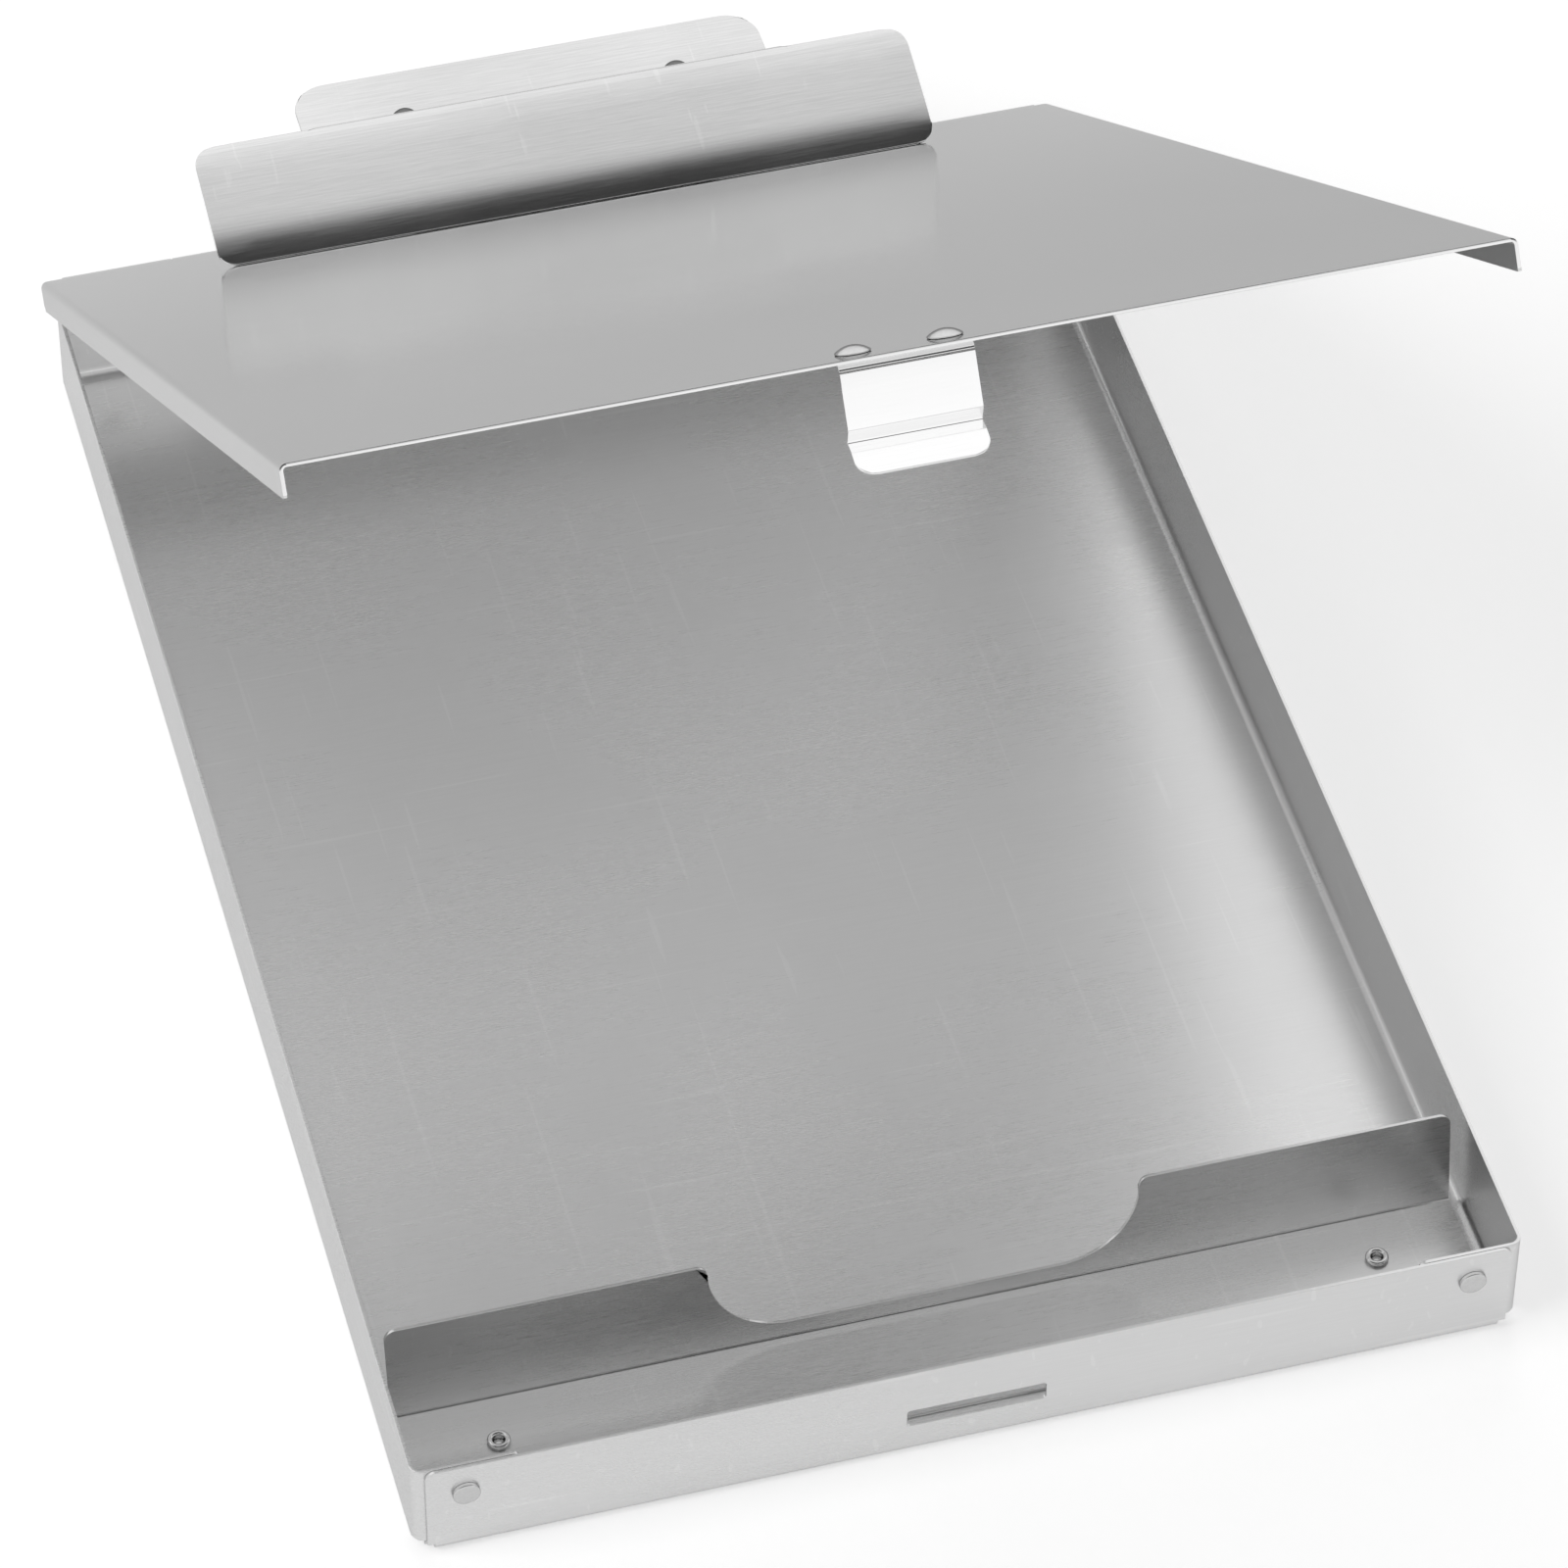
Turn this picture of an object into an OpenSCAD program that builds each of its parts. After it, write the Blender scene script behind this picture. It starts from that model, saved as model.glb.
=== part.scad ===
// Storage clipboard box: a shallow sheet-metal tray with a hinged writing lid.
// Millimetres. X runs along the front wall, Y runs back to the hinge, Z is up.
// The origin is the centre of the tray's underside. The lid is drawn standing
// open at lid_angle. Its parts are first laid out closed and then turned.

/* [Tray] */
// Outside width of the tray
tray_width = 229.4; // [120:0.2:400]
// Outside length of the tray, front wall to rear wall
tray_length = 348.6; // [200:0.2:600]
// Height of the front and side walls
tray_height = 24.7; // [15:0.1:80]
// Height of the rear wall, lower than the others to pass under the lid leaf
rear_wall_height = 23.2; // [12:0.1:78]
// Sheet thickness of the tray
tray_sheet = 0.8; // [0.5:0.1:1.2]
// Outside radius of the folds between floor and walls
tray_bend = 2.5; // [1.5:0.1:4]
// Length of the tabs folded in from the side walls at each corner
tab_length = 22; // [14:0.5:40]
// Distance from the outside of a side wall to the edge of an end panel
panel_inset = 2.6; // [2:0.1:5]
// Radius of the top corners of the end panels
panel_corner = 2.2; // [0.5:0.1:5]
// Height of the open notch under each tab
tab_notch = 3.2; // [1:0.1:6]

/* [Latch slot] */
// Width of the slot in the front wall
slot_width = 28.9; // [10:0.1:60]
// Height of the slot
slot_height = 4.7; // [3:0.1:8]
// Height of the centre of the slot above the floor line
slot_z = 10.7; // [6:0.1:18]
// Sideways offset of the slot from the centre of the tray
slot_shift = 0.5; // [-5:0.1:5]
// Radius of the corners of the slot
slot_corner = 0.7; // [0.2:0.1:2]

/* [Corner rivets] */
// Head diameter of the rivets in the front and rear corners
corner_rivet_head = 5.6; // [4:0.1:9]
// Thickness of those heads
corner_rivet_rise = 0.9; // [0.4:0.1:2]
// Shank diameter of those rivets
corner_rivet_shank = 3.2; // [2:0.1:5]
// Tail diameter of those rivets on the inside
corner_rivet_tail = 4.6; // [3:0.1:7]
// Distance of those rivets from the outside of the nearest side wall
corner_rivet_inset = 10.7; // [7:0.1:16]
// Height of those rivets
corner_rivet_z = 17.2; // [8:0.1:22]

/* [Divider] */
// Distance from the front wall to the fold of the divider
divider_y = 34.7; // [25:0.1:90]
// Height of the divider
divider_height = 23.2; // [10:0.1:60]
// Lean of the divider away from the front wall in degrees
divider_lean = 8.7; // [0:0.1:20]
// Sheet thickness of the divider
divider_sheet = 0.8; // [0.5:0.1:1.5]
// Outside radius of the fold of the divider
divider_bend = 1.3; // [1:0.1:1.8]
// Gap between each end of the divider and the side wall
divider_gap = 2.3; // [0.5:0.1:10]
// Depth of the foot of the divider towards the front wall
divider_foot = 27; // [15:0.5:60]
// Width of the open scoop in the middle of the divider
scoop_width = 90.5; // [40:0.5:150]
// Radius of the scoop where it runs down to its floor
scoop_radius = 17; // [4:0.5:25]
// Height of the bottom of the scoop
scoop_floor = 4.4; // [2.5:0.1:15]
// Radius of the top corners of the divider
divider_corner = 2.4; // [0.5:0.1:5]
// Distance of the divider rivets from the ends of the divider
divider_rivet_inset = 19.4; // [8:0.1:30]
// Distance of the divider rivets from the front wall
divider_rivet_y = 22.5; // [10:0.1:60]
// Outside diameter of the rolled ring of a divider rivet
ring_diameter = 4.8; // [3.6:0.1:7]
// Wire thickness of the rolled ring
ring_round = 0.6; // [0.3:0.05:1]
// Shank diameter of a divider rivet
ring_shank = 3; // [2:0.1:3.4]
// Bore of the hollow tail of a divider rivet
ring_bore = 2; // [1:0.1:2.4]
// Depth of the flush head let into the floor
ring_head_depth = 0.4; // [0.2:0.05:0.6]

/* [Hinge] */
// Outside radius of the hinge knuckles
knuckle_radius = 3; // [2.4:0.1:4]
// Radius of the hinge pin
pin_radius = 1.5; // [1:0.1:1.6]
// Clearance between the pin and the knuckles
pin_clearance = 0.05; // [0.02:0.01:0.09]
// Gap between the lid leaf and the side walls when the lid is closed
leaf_side_gap = 0.7; // [0.5:0.1:5]
// Distance by which the hinge is shorter than the tray is wide
hinge_margin = 0.8; // [0:0.1:40]
// Number of knuckles
knuckle_count = 9; // [5:2:13]
// Gap between neighbouring knuckles
knuckle_gap = 0.4; // [0.3:0.05:1]
// Sideways offset of the hinge from the centre of the tray
hinge_shift = 2.4; // [-5:0.1:5]
// Thickness of both hinge leaves
leaf_sheet = 1.2; // [0.8:0.1:1.6]
// Distance of the hinge axis behind the rear wall
axis_back = 3.3; // [3.3:0.1:6]
// Height of the hinge axis
axis_z = 23.47; // [14:0.01:80]
// Lowest line of the leaf on the rear wall
tray_leaf_z = 4; // [3:0.5:12]
// Highest line of the flat part of that leaf
tray_leaf_top = 20.3; // [12:0.1:76]
// Depth of the leaf under the lid
lid_leaf_depth = 24; // [12:0.5:40]
// Distance of the outer rivets of the rear leaf from the outside of the side walls
leaf_rivet_inset = 30.7; // [27:0.1:60]
// Height of the rivets of the rear leaf
leaf_rivet_z = 12.3; // [8:0.1:60]
// Head diameter of the rivets of the rear leaf
leaf_rivet_head = 5.2; // [4:0.1:8]
// Shank diameter of the rivets of the rear leaf
leaf_rivet_shank = 3; // [2:0.1:4]
// Thickness of the heads and tails of those rivets
leaf_rivet_rise = 0.9; // [0.4:0.1:1.5]

/* [Lid] */
// Opening angle of the lid as drawn, zero is closed
lid_angle = 36.48; // [0:0.01:100]
// Distance by which the lid stands out beyond each side of the tray
lid_overhang = 3.7; // [3:0.1:8]
// Distance by which the lid stands out beyond the front wall
lid_front_overhang = 3.8; // [2.5:0.1:8]
// Sideways offset of the lid from the centre of the tray
lid_shift = 1.3; // [-2:0.1:2]
// Height of the lid's upper face when closed
lid_top = 26.65; // [17:0.01:84]
// Sheet thickness of the lid
lid_sheet = 0.8; // [0.5:0.1:1.2]
// Depth of the side flanges of the lid
flange_depth = 6.6; // [4:0.1:15]
// Outside radius of the folds of the lid
lid_bend = 1.5; // [1:0.1:3]
// Distance from the hinge axis to the rear edge of the lid
lid_rear_gap = 3.3; // [3.3:0.1:8]
// Cut back at the lower rear corner of the side flanges
flange_chamfer = 1.6; // [0.5:0.1:4]

/* [Latch] */
// Width of the latch strip
latch_width = 26; // [10:0.2:50]
// Sideways offset of the latch from the centre of the tray
latch_shift = 1.55; // [-5:0.05:5]
// Sheet thickness of the latch strip
latch_sheet = 0.6; // [0.4:0.05:0.8]
// Outside radius of the fold at the head of the latch
latch_bend = 1.6; // [1.2:0.1:2]
// Distance from the front wall to the blade when closed
latch_standoff = 0.6; // [0.4:0.05:1.5]
// Depth of the riveted foot under the lid
latch_foot = 13; // [9:0.5:25]
// Gap at the bend line where the blade flexes
latch_flex_gap = 0.35; // [0.3:0.05:0.6]
// Distance below the lid face where the ridge begins
ridge_start = 13.4; // [6:0.1:18]
// Distance below the lid face of the crest of the ridge
ridge_crest = 16.1; // [8:0.1:20]
// Distance below the lid face where the ridge ends
ridge_end = 17.8; // [9:0.1:22]
// Depth of the ridge
ridge_depth = 2.6; // [1.5:0.1:3.5]
// Distance below the lid face of the end of the lip
lip_end = 21.7; // [16:0.1:23]
// Forward reach of the lip
lip_reach = 3.8; // [1:0.1:8]
// Radius of the corners of the lip
lip_corner = 3.6; // [1:0.1:6]
// Distance from the lid's front edge to the latch rivets
latch_rivet_y = 7.7; // [6:0.1:15]
// Distance between the latch rivets
latch_rivet_pitch = 17.7; // [8:0.1:40]
// Head diameter of the latch rivets
latch_rivet_head = 6.9; // [4:0.1:8]
// Height of the domed heads of the latch rivets
latch_rivet_rise = 1.5; // [0.6:0.1:2.5]
// Shank diameter of the latch rivets
latch_rivet_shank = 3; // [2:0.1:4]

/* [Clip sheet] */
// Width of the jaw
jaw_width = 164.6; // [60:0.2:220]
// Width of the lever
lever_width = 108.7; // [40:0.2:160]
// Sideways offset of the clip from the centre of the tray
clip_shift = 1.5; // [-5:0.1:5]
// Sheet thickness of the clip
clip_sheet_t = 1; // [0.6:0.05:1.2]
// Distance from the lid's rear edge to the jaw line
jaw_s = 35.2; // [30:0.1:50]
// Gap left between the jaw and the lid
jaw_gap = 0.35; // [0.3:0.05:2]
// Lean of the jaw away from upright in degrees
jaw_lean = 33.3; // [20:0.1:40]
// Length of the straight part of the jaw
jaw_straight = 27.5; // [15:0.1:32]
// Outside radius of the crest
crest_radius = 4.2; // [3:0.1:8]
// Downward slope of the shelf behind the crest in degrees
shelf_slope = 10; // [6:0.1:13]
// Length of the straight part of the shelf
shelf_length = 14.1; // [12:0.1:16]
// Inside radius of the bend between shelf and lever
lever_bend = 5; // [3:0.1:8]
// Rise of the lever above the lid plane in degrees
lever_rise = 38; // [20:0.5:60]
// Length of the straight part of the lever
lever_length = 13.1; // [8:0.1:25]
// Radius of the lower corners of the jaw
jaw_corner = 4; // [1:0.1:10]
// Radius of the upper corners of the jaw
jaw_shoulder = 6; // [2:0.1:8]
// Radius of the corners of the lever
lever_corner = 8; // [2:0.1:12]

/* [Clip mount] */
// Distance of the clip pivot from the lid's rear edge
pivot_s = 9; // [7:0.1:14]
// Height of the clip pivot above the lid
pivot_n = 12; // [9:0.1:14]
// Radius of the clip pin
clip_pin_radius = 1.5; // [1:0.1:2]
// Clearance between the clip pin and the ears
clip_pin_clearance = 0.05; // [0.02:0.01:0.09]
// Distance between the outer faces of the base ears
base_span = 67; // [40:0.5:100]
// Sheet thickness of the base and of the saddle
ear_sheet = 1.2; // [0.8:0.1:2]
// Clearance between base ears and saddle ears
ear_clearance = 0.4; // [0.3:0.05:1]
// Radius of the ears around the pin
ear_radius = 4.5; // [3:0.1:6]
// Front to back depth of the base plate
base_depth = 22; // [16:0.5:24]
// Distance of the rear edge of the base plate from the lid's rear edge
base_s = 3; // [1:0.1:6]
// Distance of the base rivets from the lid's rear edge
base_rivet_s = 19.5; // [14:0.1:24]
// Distance between the base rivets
base_rivet_pitch = 44; // [20:0.5:80]
// Head diameter of the base rivets
base_rivet_head = 6; // [4:0.1:8]
// Shank diameter of the base rivets
base_rivet_shank = 3.2; // [2:0.1:4]
// Thickness of the heads of the base rivets
base_rivet_rise = 1; // [0.5:0.1:2]
// Distance of the rivets in the clip shelf from the sides of the saddle
shelf_rivet_inset = 3.5; // [3:0.1:12]
// Head diameter of the rivets in the clip shelf
shelf_rivet_head = 6; // [4:0.1:7]
// Height of the heads of the rivets in the clip shelf
shelf_rivet_rise = 1.8; // [0.5:0.1:2]
// Shank diameter of the rivets in the clip shelf
shelf_rivet_shank = 3; // [2:0.1:4]
// Overhang of the clip pin beyond the saddle ears
clip_pin_end = 1; // [0.5:0.1:4]

/* [Clip springs] */
// Wire radius of the clip springs
wire_radius = 0.6; // [0.4:0.05:0.7]
// Mean radius of the coils
coil_radius = 3.1; // [2.8:0.1:4]
// Number of full turns of each spring
coil_turns = 5; // [3:1:8]
// Gap between neighbouring turns
coil_gap = 0.5; // [0.45:0.05:1]
// Distance from the centre of the clip to the inner end of each spring
coil_x = 16; // [10:0.5:26]
// Length of the straight legs
leg_length = 7.4; // [5:0.1:9]

/* [Hidden] */
eps = 0.01;
// Gap between pieces that rest on each other
seat = 0.04;
// Room around the rear corner rivet heads in the hinge leaf
head_clearance = 0.5;
// Length of the cutters for rivet holes
through = 8;
// Distance by which the folds stop short at the tray's corners
relief = 1.5;
// Length at the rear end of a side wall that stays at rear wall height
rear_step = 1.5;
// Thickness of the tails of the corner rivets and the rivets of the clip
tail_rise = 0.9;
// Share of a flat head's height that stands straight, and inset of its round rim
head_edge = 0.6;
head_rim = 0.15;
// Overlap of the knuckle roots with their leaves
root = 1;
// Setback of the lid leaf from the rear edge of the lid
leaf_setback = 0.2;
// Amount by which the tails of the leaf rivets are smaller than their heads
tail_inset = 0.4;
// Length of the latch rivets' shanks beyond the strip
shank_end = 0.25;
// Place of the rivets along the shelf as a share of its length
shelf_rivet_share = 0.8;
// Length by which the saddle's plate stops short of the crest
saddle_setback = 1;
// Distance from the ends of the saddle's plate to the upper corners of its ears
ear_inset = 0.6;
// Length by which a straight run of the clip laps into the curve it meets
run_lap = 0.002;
// Height by which the outline of the jaw's shoulders runs past the crest
shoulder_over = 0.5;
// Distance of the front foot of the base ears from the front edge of the plate
ear_foot = 6;
half_w = tray_width / 2;
half_l = tray_length / 2;
corner_rivet_x = half_w - corner_rivet_inset;
divider_width = tray_width - 2 * (tray_sheet + divider_gap);
divider_rivet_x = divider_width / 2 - divider_rivet_inset;
leaf_rivet_x = half_w - leaf_rivet_inset;
leaf_rivet_inner_x = leaf_rivet_x / 3;
lid_width = tray_width + 2 * lid_overhang;
front_y = -half_l;
tab_inner = tray_sheet + seat;
tab_side_y = half_l - tab_inner;
panel_w = tray_width - 2 * panel_inset;
axis_y = half_l + axis_back;
hinge_length = tray_width - hinge_margin;
knuckle_pitch = hinge_length / knuckle_count;
hinge_x = hinge_shift - hinge_length / 2;
bore_radius = pin_radius + pin_clearance;
leaf_y = half_l + seat;
lid_rear_y = axis_y - lid_rear_gap;
lid_front_y = front_y - lid_front_overhang;
lid_length = lid_rear_y - lid_front_y;
lid_under = lid_top - lid_sheet;
blade_in_y = front_y - latch_standoff;
blade_out_y = blade_in_y - latch_sheet;
foot_top = lid_under - seat;
latch_bend_y = blade_out_y + latch_bend;
latch_bend_z = foot_top - latch_bend;
flex_y = (blade_in_y + blade_out_y) / 2;
flex_z = latch_bend_z - latch_flex_gap / 2;
shelf_heading = 180 + shelf_slope;
lever_heading = 180 - lever_rise;
jaw_heading = 90 + jaw_lean;
clip_bore = clip_pin_radius + clip_pin_clearance;
saddle_span = base_span + 2 * (ear_clearance + ear_sheet);
clip_pin_length = saddle_span + 2 * clip_pin_end;
shelf_rivet_pitch = saddle_span - 2 * shelf_rivet_inset;
coil_pitch = 2 * wire_radius + coil_gap;
// Corner and rim pieces of this depth overlap the sheet they are cut from
cut = 30;
rings_per_turn = 8;
wire_sides = 6;

// One step along the clip's outer face: point, heading and straight or curved run.
function ahead(p, a, d) = [p[0] + d * cos(a), p[1] + d * sin(a)];
// Point on a curve of radius r that starts at p with heading a0, turning left or right.
function on_curve(p, a0, a1, r, side) =
    [p[0] + side * r * (sin(a1) - sin(a0)), p[1] - side * r * (cos(a1) - cos(a0))];

jaw_tip = [jaw_s, jaw_gap];
jaw_head = ahead(jaw_tip, jaw_heading, jaw_straight);
crest_top = jaw_head[1] + crest_radius * (1 + cos(jaw_heading));
crest_end = on_curve(jaw_head, jaw_heading, shelf_heading, crest_radius, 1);
shelf_end = ahead(crest_end, shelf_heading, shelf_length);
lever_start = on_curve(shelf_end, shelf_heading, lever_heading, lever_bend, -1);
lever_tip = ahead(lever_start, lever_heading, lever_length);
crest_centre = ahead(jaw_head, jaw_heading + 90, crest_radius);
bend_centre = ahead(shelf_end, shelf_heading - 90, lever_bend);
shelf_rivet_at = ahead(crest_end, shelf_heading, shelf_length * shelf_rivet_share);

// Quarter of a bent sheet along X, centre of the fold at the origin.
// It joins a wall on the side given by y_side to a floor below.
module fold(length, outer, sheet, y_side) {
    rotate([0, 90, 0])
        translate([0, 0, -length / 2])
            linear_extrude(height = length)
                intersection() {
                    difference() {
                        circle(r = outer, $fn = 64);
                        circle(r = outer - sheet, $fn = 64);
                    }
                    translate([0, y_side > 0 ? 0 : -outer])
                        square([outer, outer]);
                }
}

// Upright quarter of a bent sheet, centre of the fold at the origin.
module corner_fold(height, outer, sheet, x_side, y_side) {
    linear_extrude(height = height)
        intersection() {
            difference() {
                circle(r = outer, $fn = 64);
                circle(r = outer - sheet, $fn = 64);
            }
            translate([x_side > 0 ? 0 : -outer, y_side > 0 ? 0 : -outer])
                square([outer, outer]);
        }
}

// Flat outline with chosen radii at the two upper corners, base on the X axis.
module topped_outline(width, height, radius) {
    union() {
        translate([-width / 2, 0])
            square([width, height - radius]);
        translate([-width / 2 + radius, height - radius - eps])
            square([width - 2 * radius, radius + eps]);
        for (side = [-1, 1])
            translate([side * (width / 2 - radius), height - radius])
                circle(r = radius, $fn = 48);
    }
}

// Flat outline with four round corners, centred.
module rounded_outline(width, height, radius) {
    union() {
        square([width - 2 * radius, height], center = true);
        square([width, height - 2 * radius], center = true);
        for (sx = [-1, 1])
            for (sy = [-1, 1])
                translate([sx * (width / 2 - radius), sy * (height / 2 - radius)])
                    circle(r = radius, $fn = 48);
    }
}

// Stand a flat outline up in the XZ plane with its back at y.
module upright(y, sheet) {
    translate([0, y + sheet, 0])
        rotate([90, 0, 0])
            linear_extrude(height = sheet)
                children();
}

// Pin or shank along Z.
module rod(radius, low, high) {
    translate([0, 0, low])
        cylinder(r = radius, h = high - low, $fn = 40);
}

// Rounded rivet head: a cap cut from a ball, rim at the origin.
module dome(diameter, rise) {
    ball = (diameter * diameter / 4 + rise * rise) / (2 * rise);
    intersection() {
        translate([0, 0, rise - ball])
            sphere(r = ball, $fn = 72);
        cylinder(r = diameter / 2, h = 2 * rise, $fn = 48);
    }
}

// Flat head with a narrow raised round rim, rim at the origin, face upwards.
module flat_head(diameter, rise) {
    union() {
        cylinder(r = diameter / 2, h = rise * head_edge, $fn = 48);
        translate([0, 0, rise * head_edge - eps])
            dome(diameter - 2 * head_rim, rise * (1 - head_edge));
    }
}

// Everything on the lid is laid out closed and turned open here.
module opened() {
    translate([0, axis_y, axis_z])
        rotate([-lid_angle, 0, 0])
            translate([0, -axis_y, -axis_z])
                children();
}

// Lid frame: X as before, second axis away from the rear edge, third axis up.
module on_lid() {
    opened()
        translate([clip_shift, lid_rear_y, lid_top])
            mirror([0, 1, 0])
                children();
}

// Extrude a side profile given as distance from the rear edge and height.
module across(width) {
    rotate([90, 0, 90])
        translate([0, 0, -width / 2])
            linear_extrude(height = width)
                children();
}

module corner_rivet_holes(end) {
    for (side = [-1, 1])
        translate([side * corner_rivet_x, end * half_l, corner_rivet_z])
            rotate([90, 0, 0])
                cylinder(r = corner_rivet_shank / 2 + seat, h = through, center = true, $fn = 40);
}

module leaf_rivet_places() {
    for (x = [-leaf_rivet_x, -leaf_rivet_inner_x, leaf_rivet_inner_x, leaf_rivet_x])
        translate([x, half_l, leaf_rivet_z])
            rotate([-90, 0, 0])
                children();
}

// One corner of the tray: the upright fold and the tab folded in behind a panel.
module tray_corner(side, end) {
    top = end < 0 ? tray_height : rear_wall_height;
    translate([side * (half_w - tray_bend), end * (tab_side_y - tray_bend), tab_notch])
        corner_fold(top - tab_notch, tray_bend, tray_sheet, side, end);
    tab_x = side > 0 ? half_w - tab_length : tray_bend - half_w;
    tab_y = end > 0 ? tab_side_y - tray_sheet : -tab_side_y;
    translate([tab_x, tab_y, tab_notch])
        cube([tab_length - tray_bend, tray_sheet, top - tab_notch]);
}

// End panel with its fold to the floor.
module end_panel(end, height) {
    wall_y = end > 0 ? half_l - tray_sheet : -half_l;
    upright(wall_y, tray_sheet)
        translate([0, tray_bend])
            topped_outline(panel_w, height - tray_bend, panel_corner);
    translate([0, end * (half_l - tray_bend), tray_bend])
        fold(panel_w - 2 * relief, tray_bend, tray_sheet, end);
}

module tray_body() {
    floor_w = tray_width - 2 * tray_bend;
    floor_l = tray_length - 2 * tray_bend;
    side_l = 2 * (tab_side_y - tray_bend);
    translate([-floor_w / 2, -floor_l / 2, 0])
        cube([floor_w, floor_l, tray_sheet]);
    for (side = [-1, 1]) {
        translate([side > 0 ? half_w - tray_sheet : -half_w, -side_l / 2, tray_bend])
            cube([tray_sheet, side_l, rear_wall_height - tray_bend]);
        translate([side > 0 ? half_w - tray_sheet : -half_w, -side_l / 2, rear_wall_height - eps])
            cube([tray_sheet, side_l - rear_step, tray_height - rear_wall_height + eps]);
        rotate([0, 0, 90])
            translate([0, -side * (half_w - tray_bend), tray_bend])
                fold(side_l - 2 * relief, tray_bend, tray_sheet, -side);
        for (end = [-1, 1])
            tray_corner(side, end);
    }
    end_panel(-1, tray_height);
    end_panel(1, rear_wall_height);
}

module tray_shell() {
    color("Silver")
        difference() {
            tray_body();
            upright(front_y - through / 2, through)
                translate([slot_shift, slot_z])
                    rounded_outline(slot_width, slot_height, slot_corner);
            corner_rivet_holes(-1);
            corner_rivet_holes(1);
            leaf_rivet_places()
                cylinder(r = leaf_rivet_shank / 2 + seat, h = through, center = true, $fn = 40);
            divider_rivet_places() {
                cylinder(r = ring_shank / 2 + seat, h = through, center = true, $fn = 40);
                translate([0, 0, ring_head_depth - through / 2])
                    cylinder(r = ring_diameter / 2 + seat, h = through, center = true, $fn = 40);
            }
        }
}

// A corner rivet: flat head outside, shank through both sheets, tail inside.
module corner_rivets(end) {
    stack = 2 * tray_sheet + seat;
    for (side = [-1, 1])
        translate([side * corner_rivet_x, end * half_l, corner_rivet_z])
            rotate([end > 0 ? -90 : 90, 0, 0]) {
                rod(corner_rivet_shank / 2, -stack - seat - eps, eps + seat);
                translate([0, 0, seat])
                    flat_head(corner_rivet_head, corner_rivet_rise);
                translate([0, 0, -stack - seat - tail_rise])
                    cylinder(r = corner_rivet_tail / 2, h = tail_rise, $fn = 40);
            }
}

module front_corner_rivets() {
    color("Gainsboro")
        corner_rivets(-1);
}

module rear_corner_rivets() {
    color("Gainsboro")
        corner_rivets(1);
}

module divider_rivet_places() {
    for (side = [-1, 1])
        translate([side * divider_rivet_x, front_y + divider_rivet_y, 0])
            children();
}

// Side profile of the divider: foot, fold and upright, outer fold line at the origin.
module divider_profile() {
    setback = divider_bend * tan((90 - divider_lean) / 2);
    top = ahead([0, 0], 90 - divider_lean, divider_height / cos(divider_lean));
    union() {
        translate([-divider_foot, 0])
            square([divider_foot - setback, divider_sheet]);
        translate([-setback, divider_bend])
            intersection() {
                difference() {
                    circle(r = divider_bend, $fn = 64);
                    circle(r = divider_bend - divider_sheet, $fn = 64);
                }
                ring_slice(divider_bend, -90, -divider_lean);
            }
        sheet_run(ahead([0, 0], 90 - divider_lean, setback), top, 90 - divider_lean, divider_sheet);
    }
}

// Outline of the upright of the divider, drawn flat with its fold on the X axis.
module divider_outline() {
    rise = divider_height / cos(divider_lean);
    difference() {
        topped_outline(divider_width, rise, divider_corner);
        translate([-scoop_width / 2, scoop_floor + scoop_radius])
            square([scoop_width, rise]);
        translate([-scoop_width / 2 + scoop_radius, scoop_floor])
            square([scoop_width - 2 * scoop_radius, rise]);
        for (side = [-1, 1])
            translate([side * (scoop_width / 2 - scoop_radius), scoop_floor + scoop_radius])
                circle(r = scoop_radius, $fn = 96);
    }
}

module pen_divider() {
    foot_z = tray_sheet + seat;
    trim = 2 * divider_bend;
    color("DarkGray")
        difference() {
            translate([0, front_y + divider_y, foot_z])
                intersection() {
                    across(divider_width)
                        divider_profile();
                    union() {
                        translate([-divider_width, -divider_foot - through, -through])
                            cube([2 * divider_width, divider_foot + 2 * through, through + trim]);
                        rotate([90 - divider_lean, 0, 0])
                            translate([0, 0, -trim])
                                linear_extrude(height = 3 * trim)
                                    divider_outline();
                    }
                }
            divider_rivet_places()
                cylinder(r = ring_shank / 2 + seat, h = through, center = true, $fn = 40);
        }
}

// Hollow rivet with a flush head under the floor and a rolled ring on top.
module divider_rivets() {
    ring_z = tray_sheet + divider_sheet + 3 * seat + ring_round;
    color("Gainsboro")
        divider_rivet_places()
            difference() {
                union() {
                    rod(ring_diameter / 2, seat, ring_head_depth - seat);
                    rod(ring_shank / 2, seat, ring_z);
                    translate([0, 0, ring_z])
                        rotate_extrude($fn = 48)
                            translate([ring_diameter / 2 - ring_round, 0])
                                circle(r = ring_round, $fn = 24);
                }
                rod(ring_bore / 2, ring_head_depth, ring_z + through);
            }
}

// Knuckles on every second place, first is 0 or 1.
module knuckles(first) {
    for (i = [first:2:knuckle_count - 1])
        translate([hinge_x + i * knuckle_pitch + knuckle_gap / 2, axis_y, axis_z])
            rotate([0, 90, 0])
                cylinder(r = knuckle_radius, h = knuckle_pitch - knuckle_gap, $fn = 64);
}

module hinge_bore() {
    translate([hinge_x - 1, axis_y, axis_z])
        rotate([0, 90, 0])
            cylinder(r = bore_radius, h = hinge_length + 2, $fn = 48);
}

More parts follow.
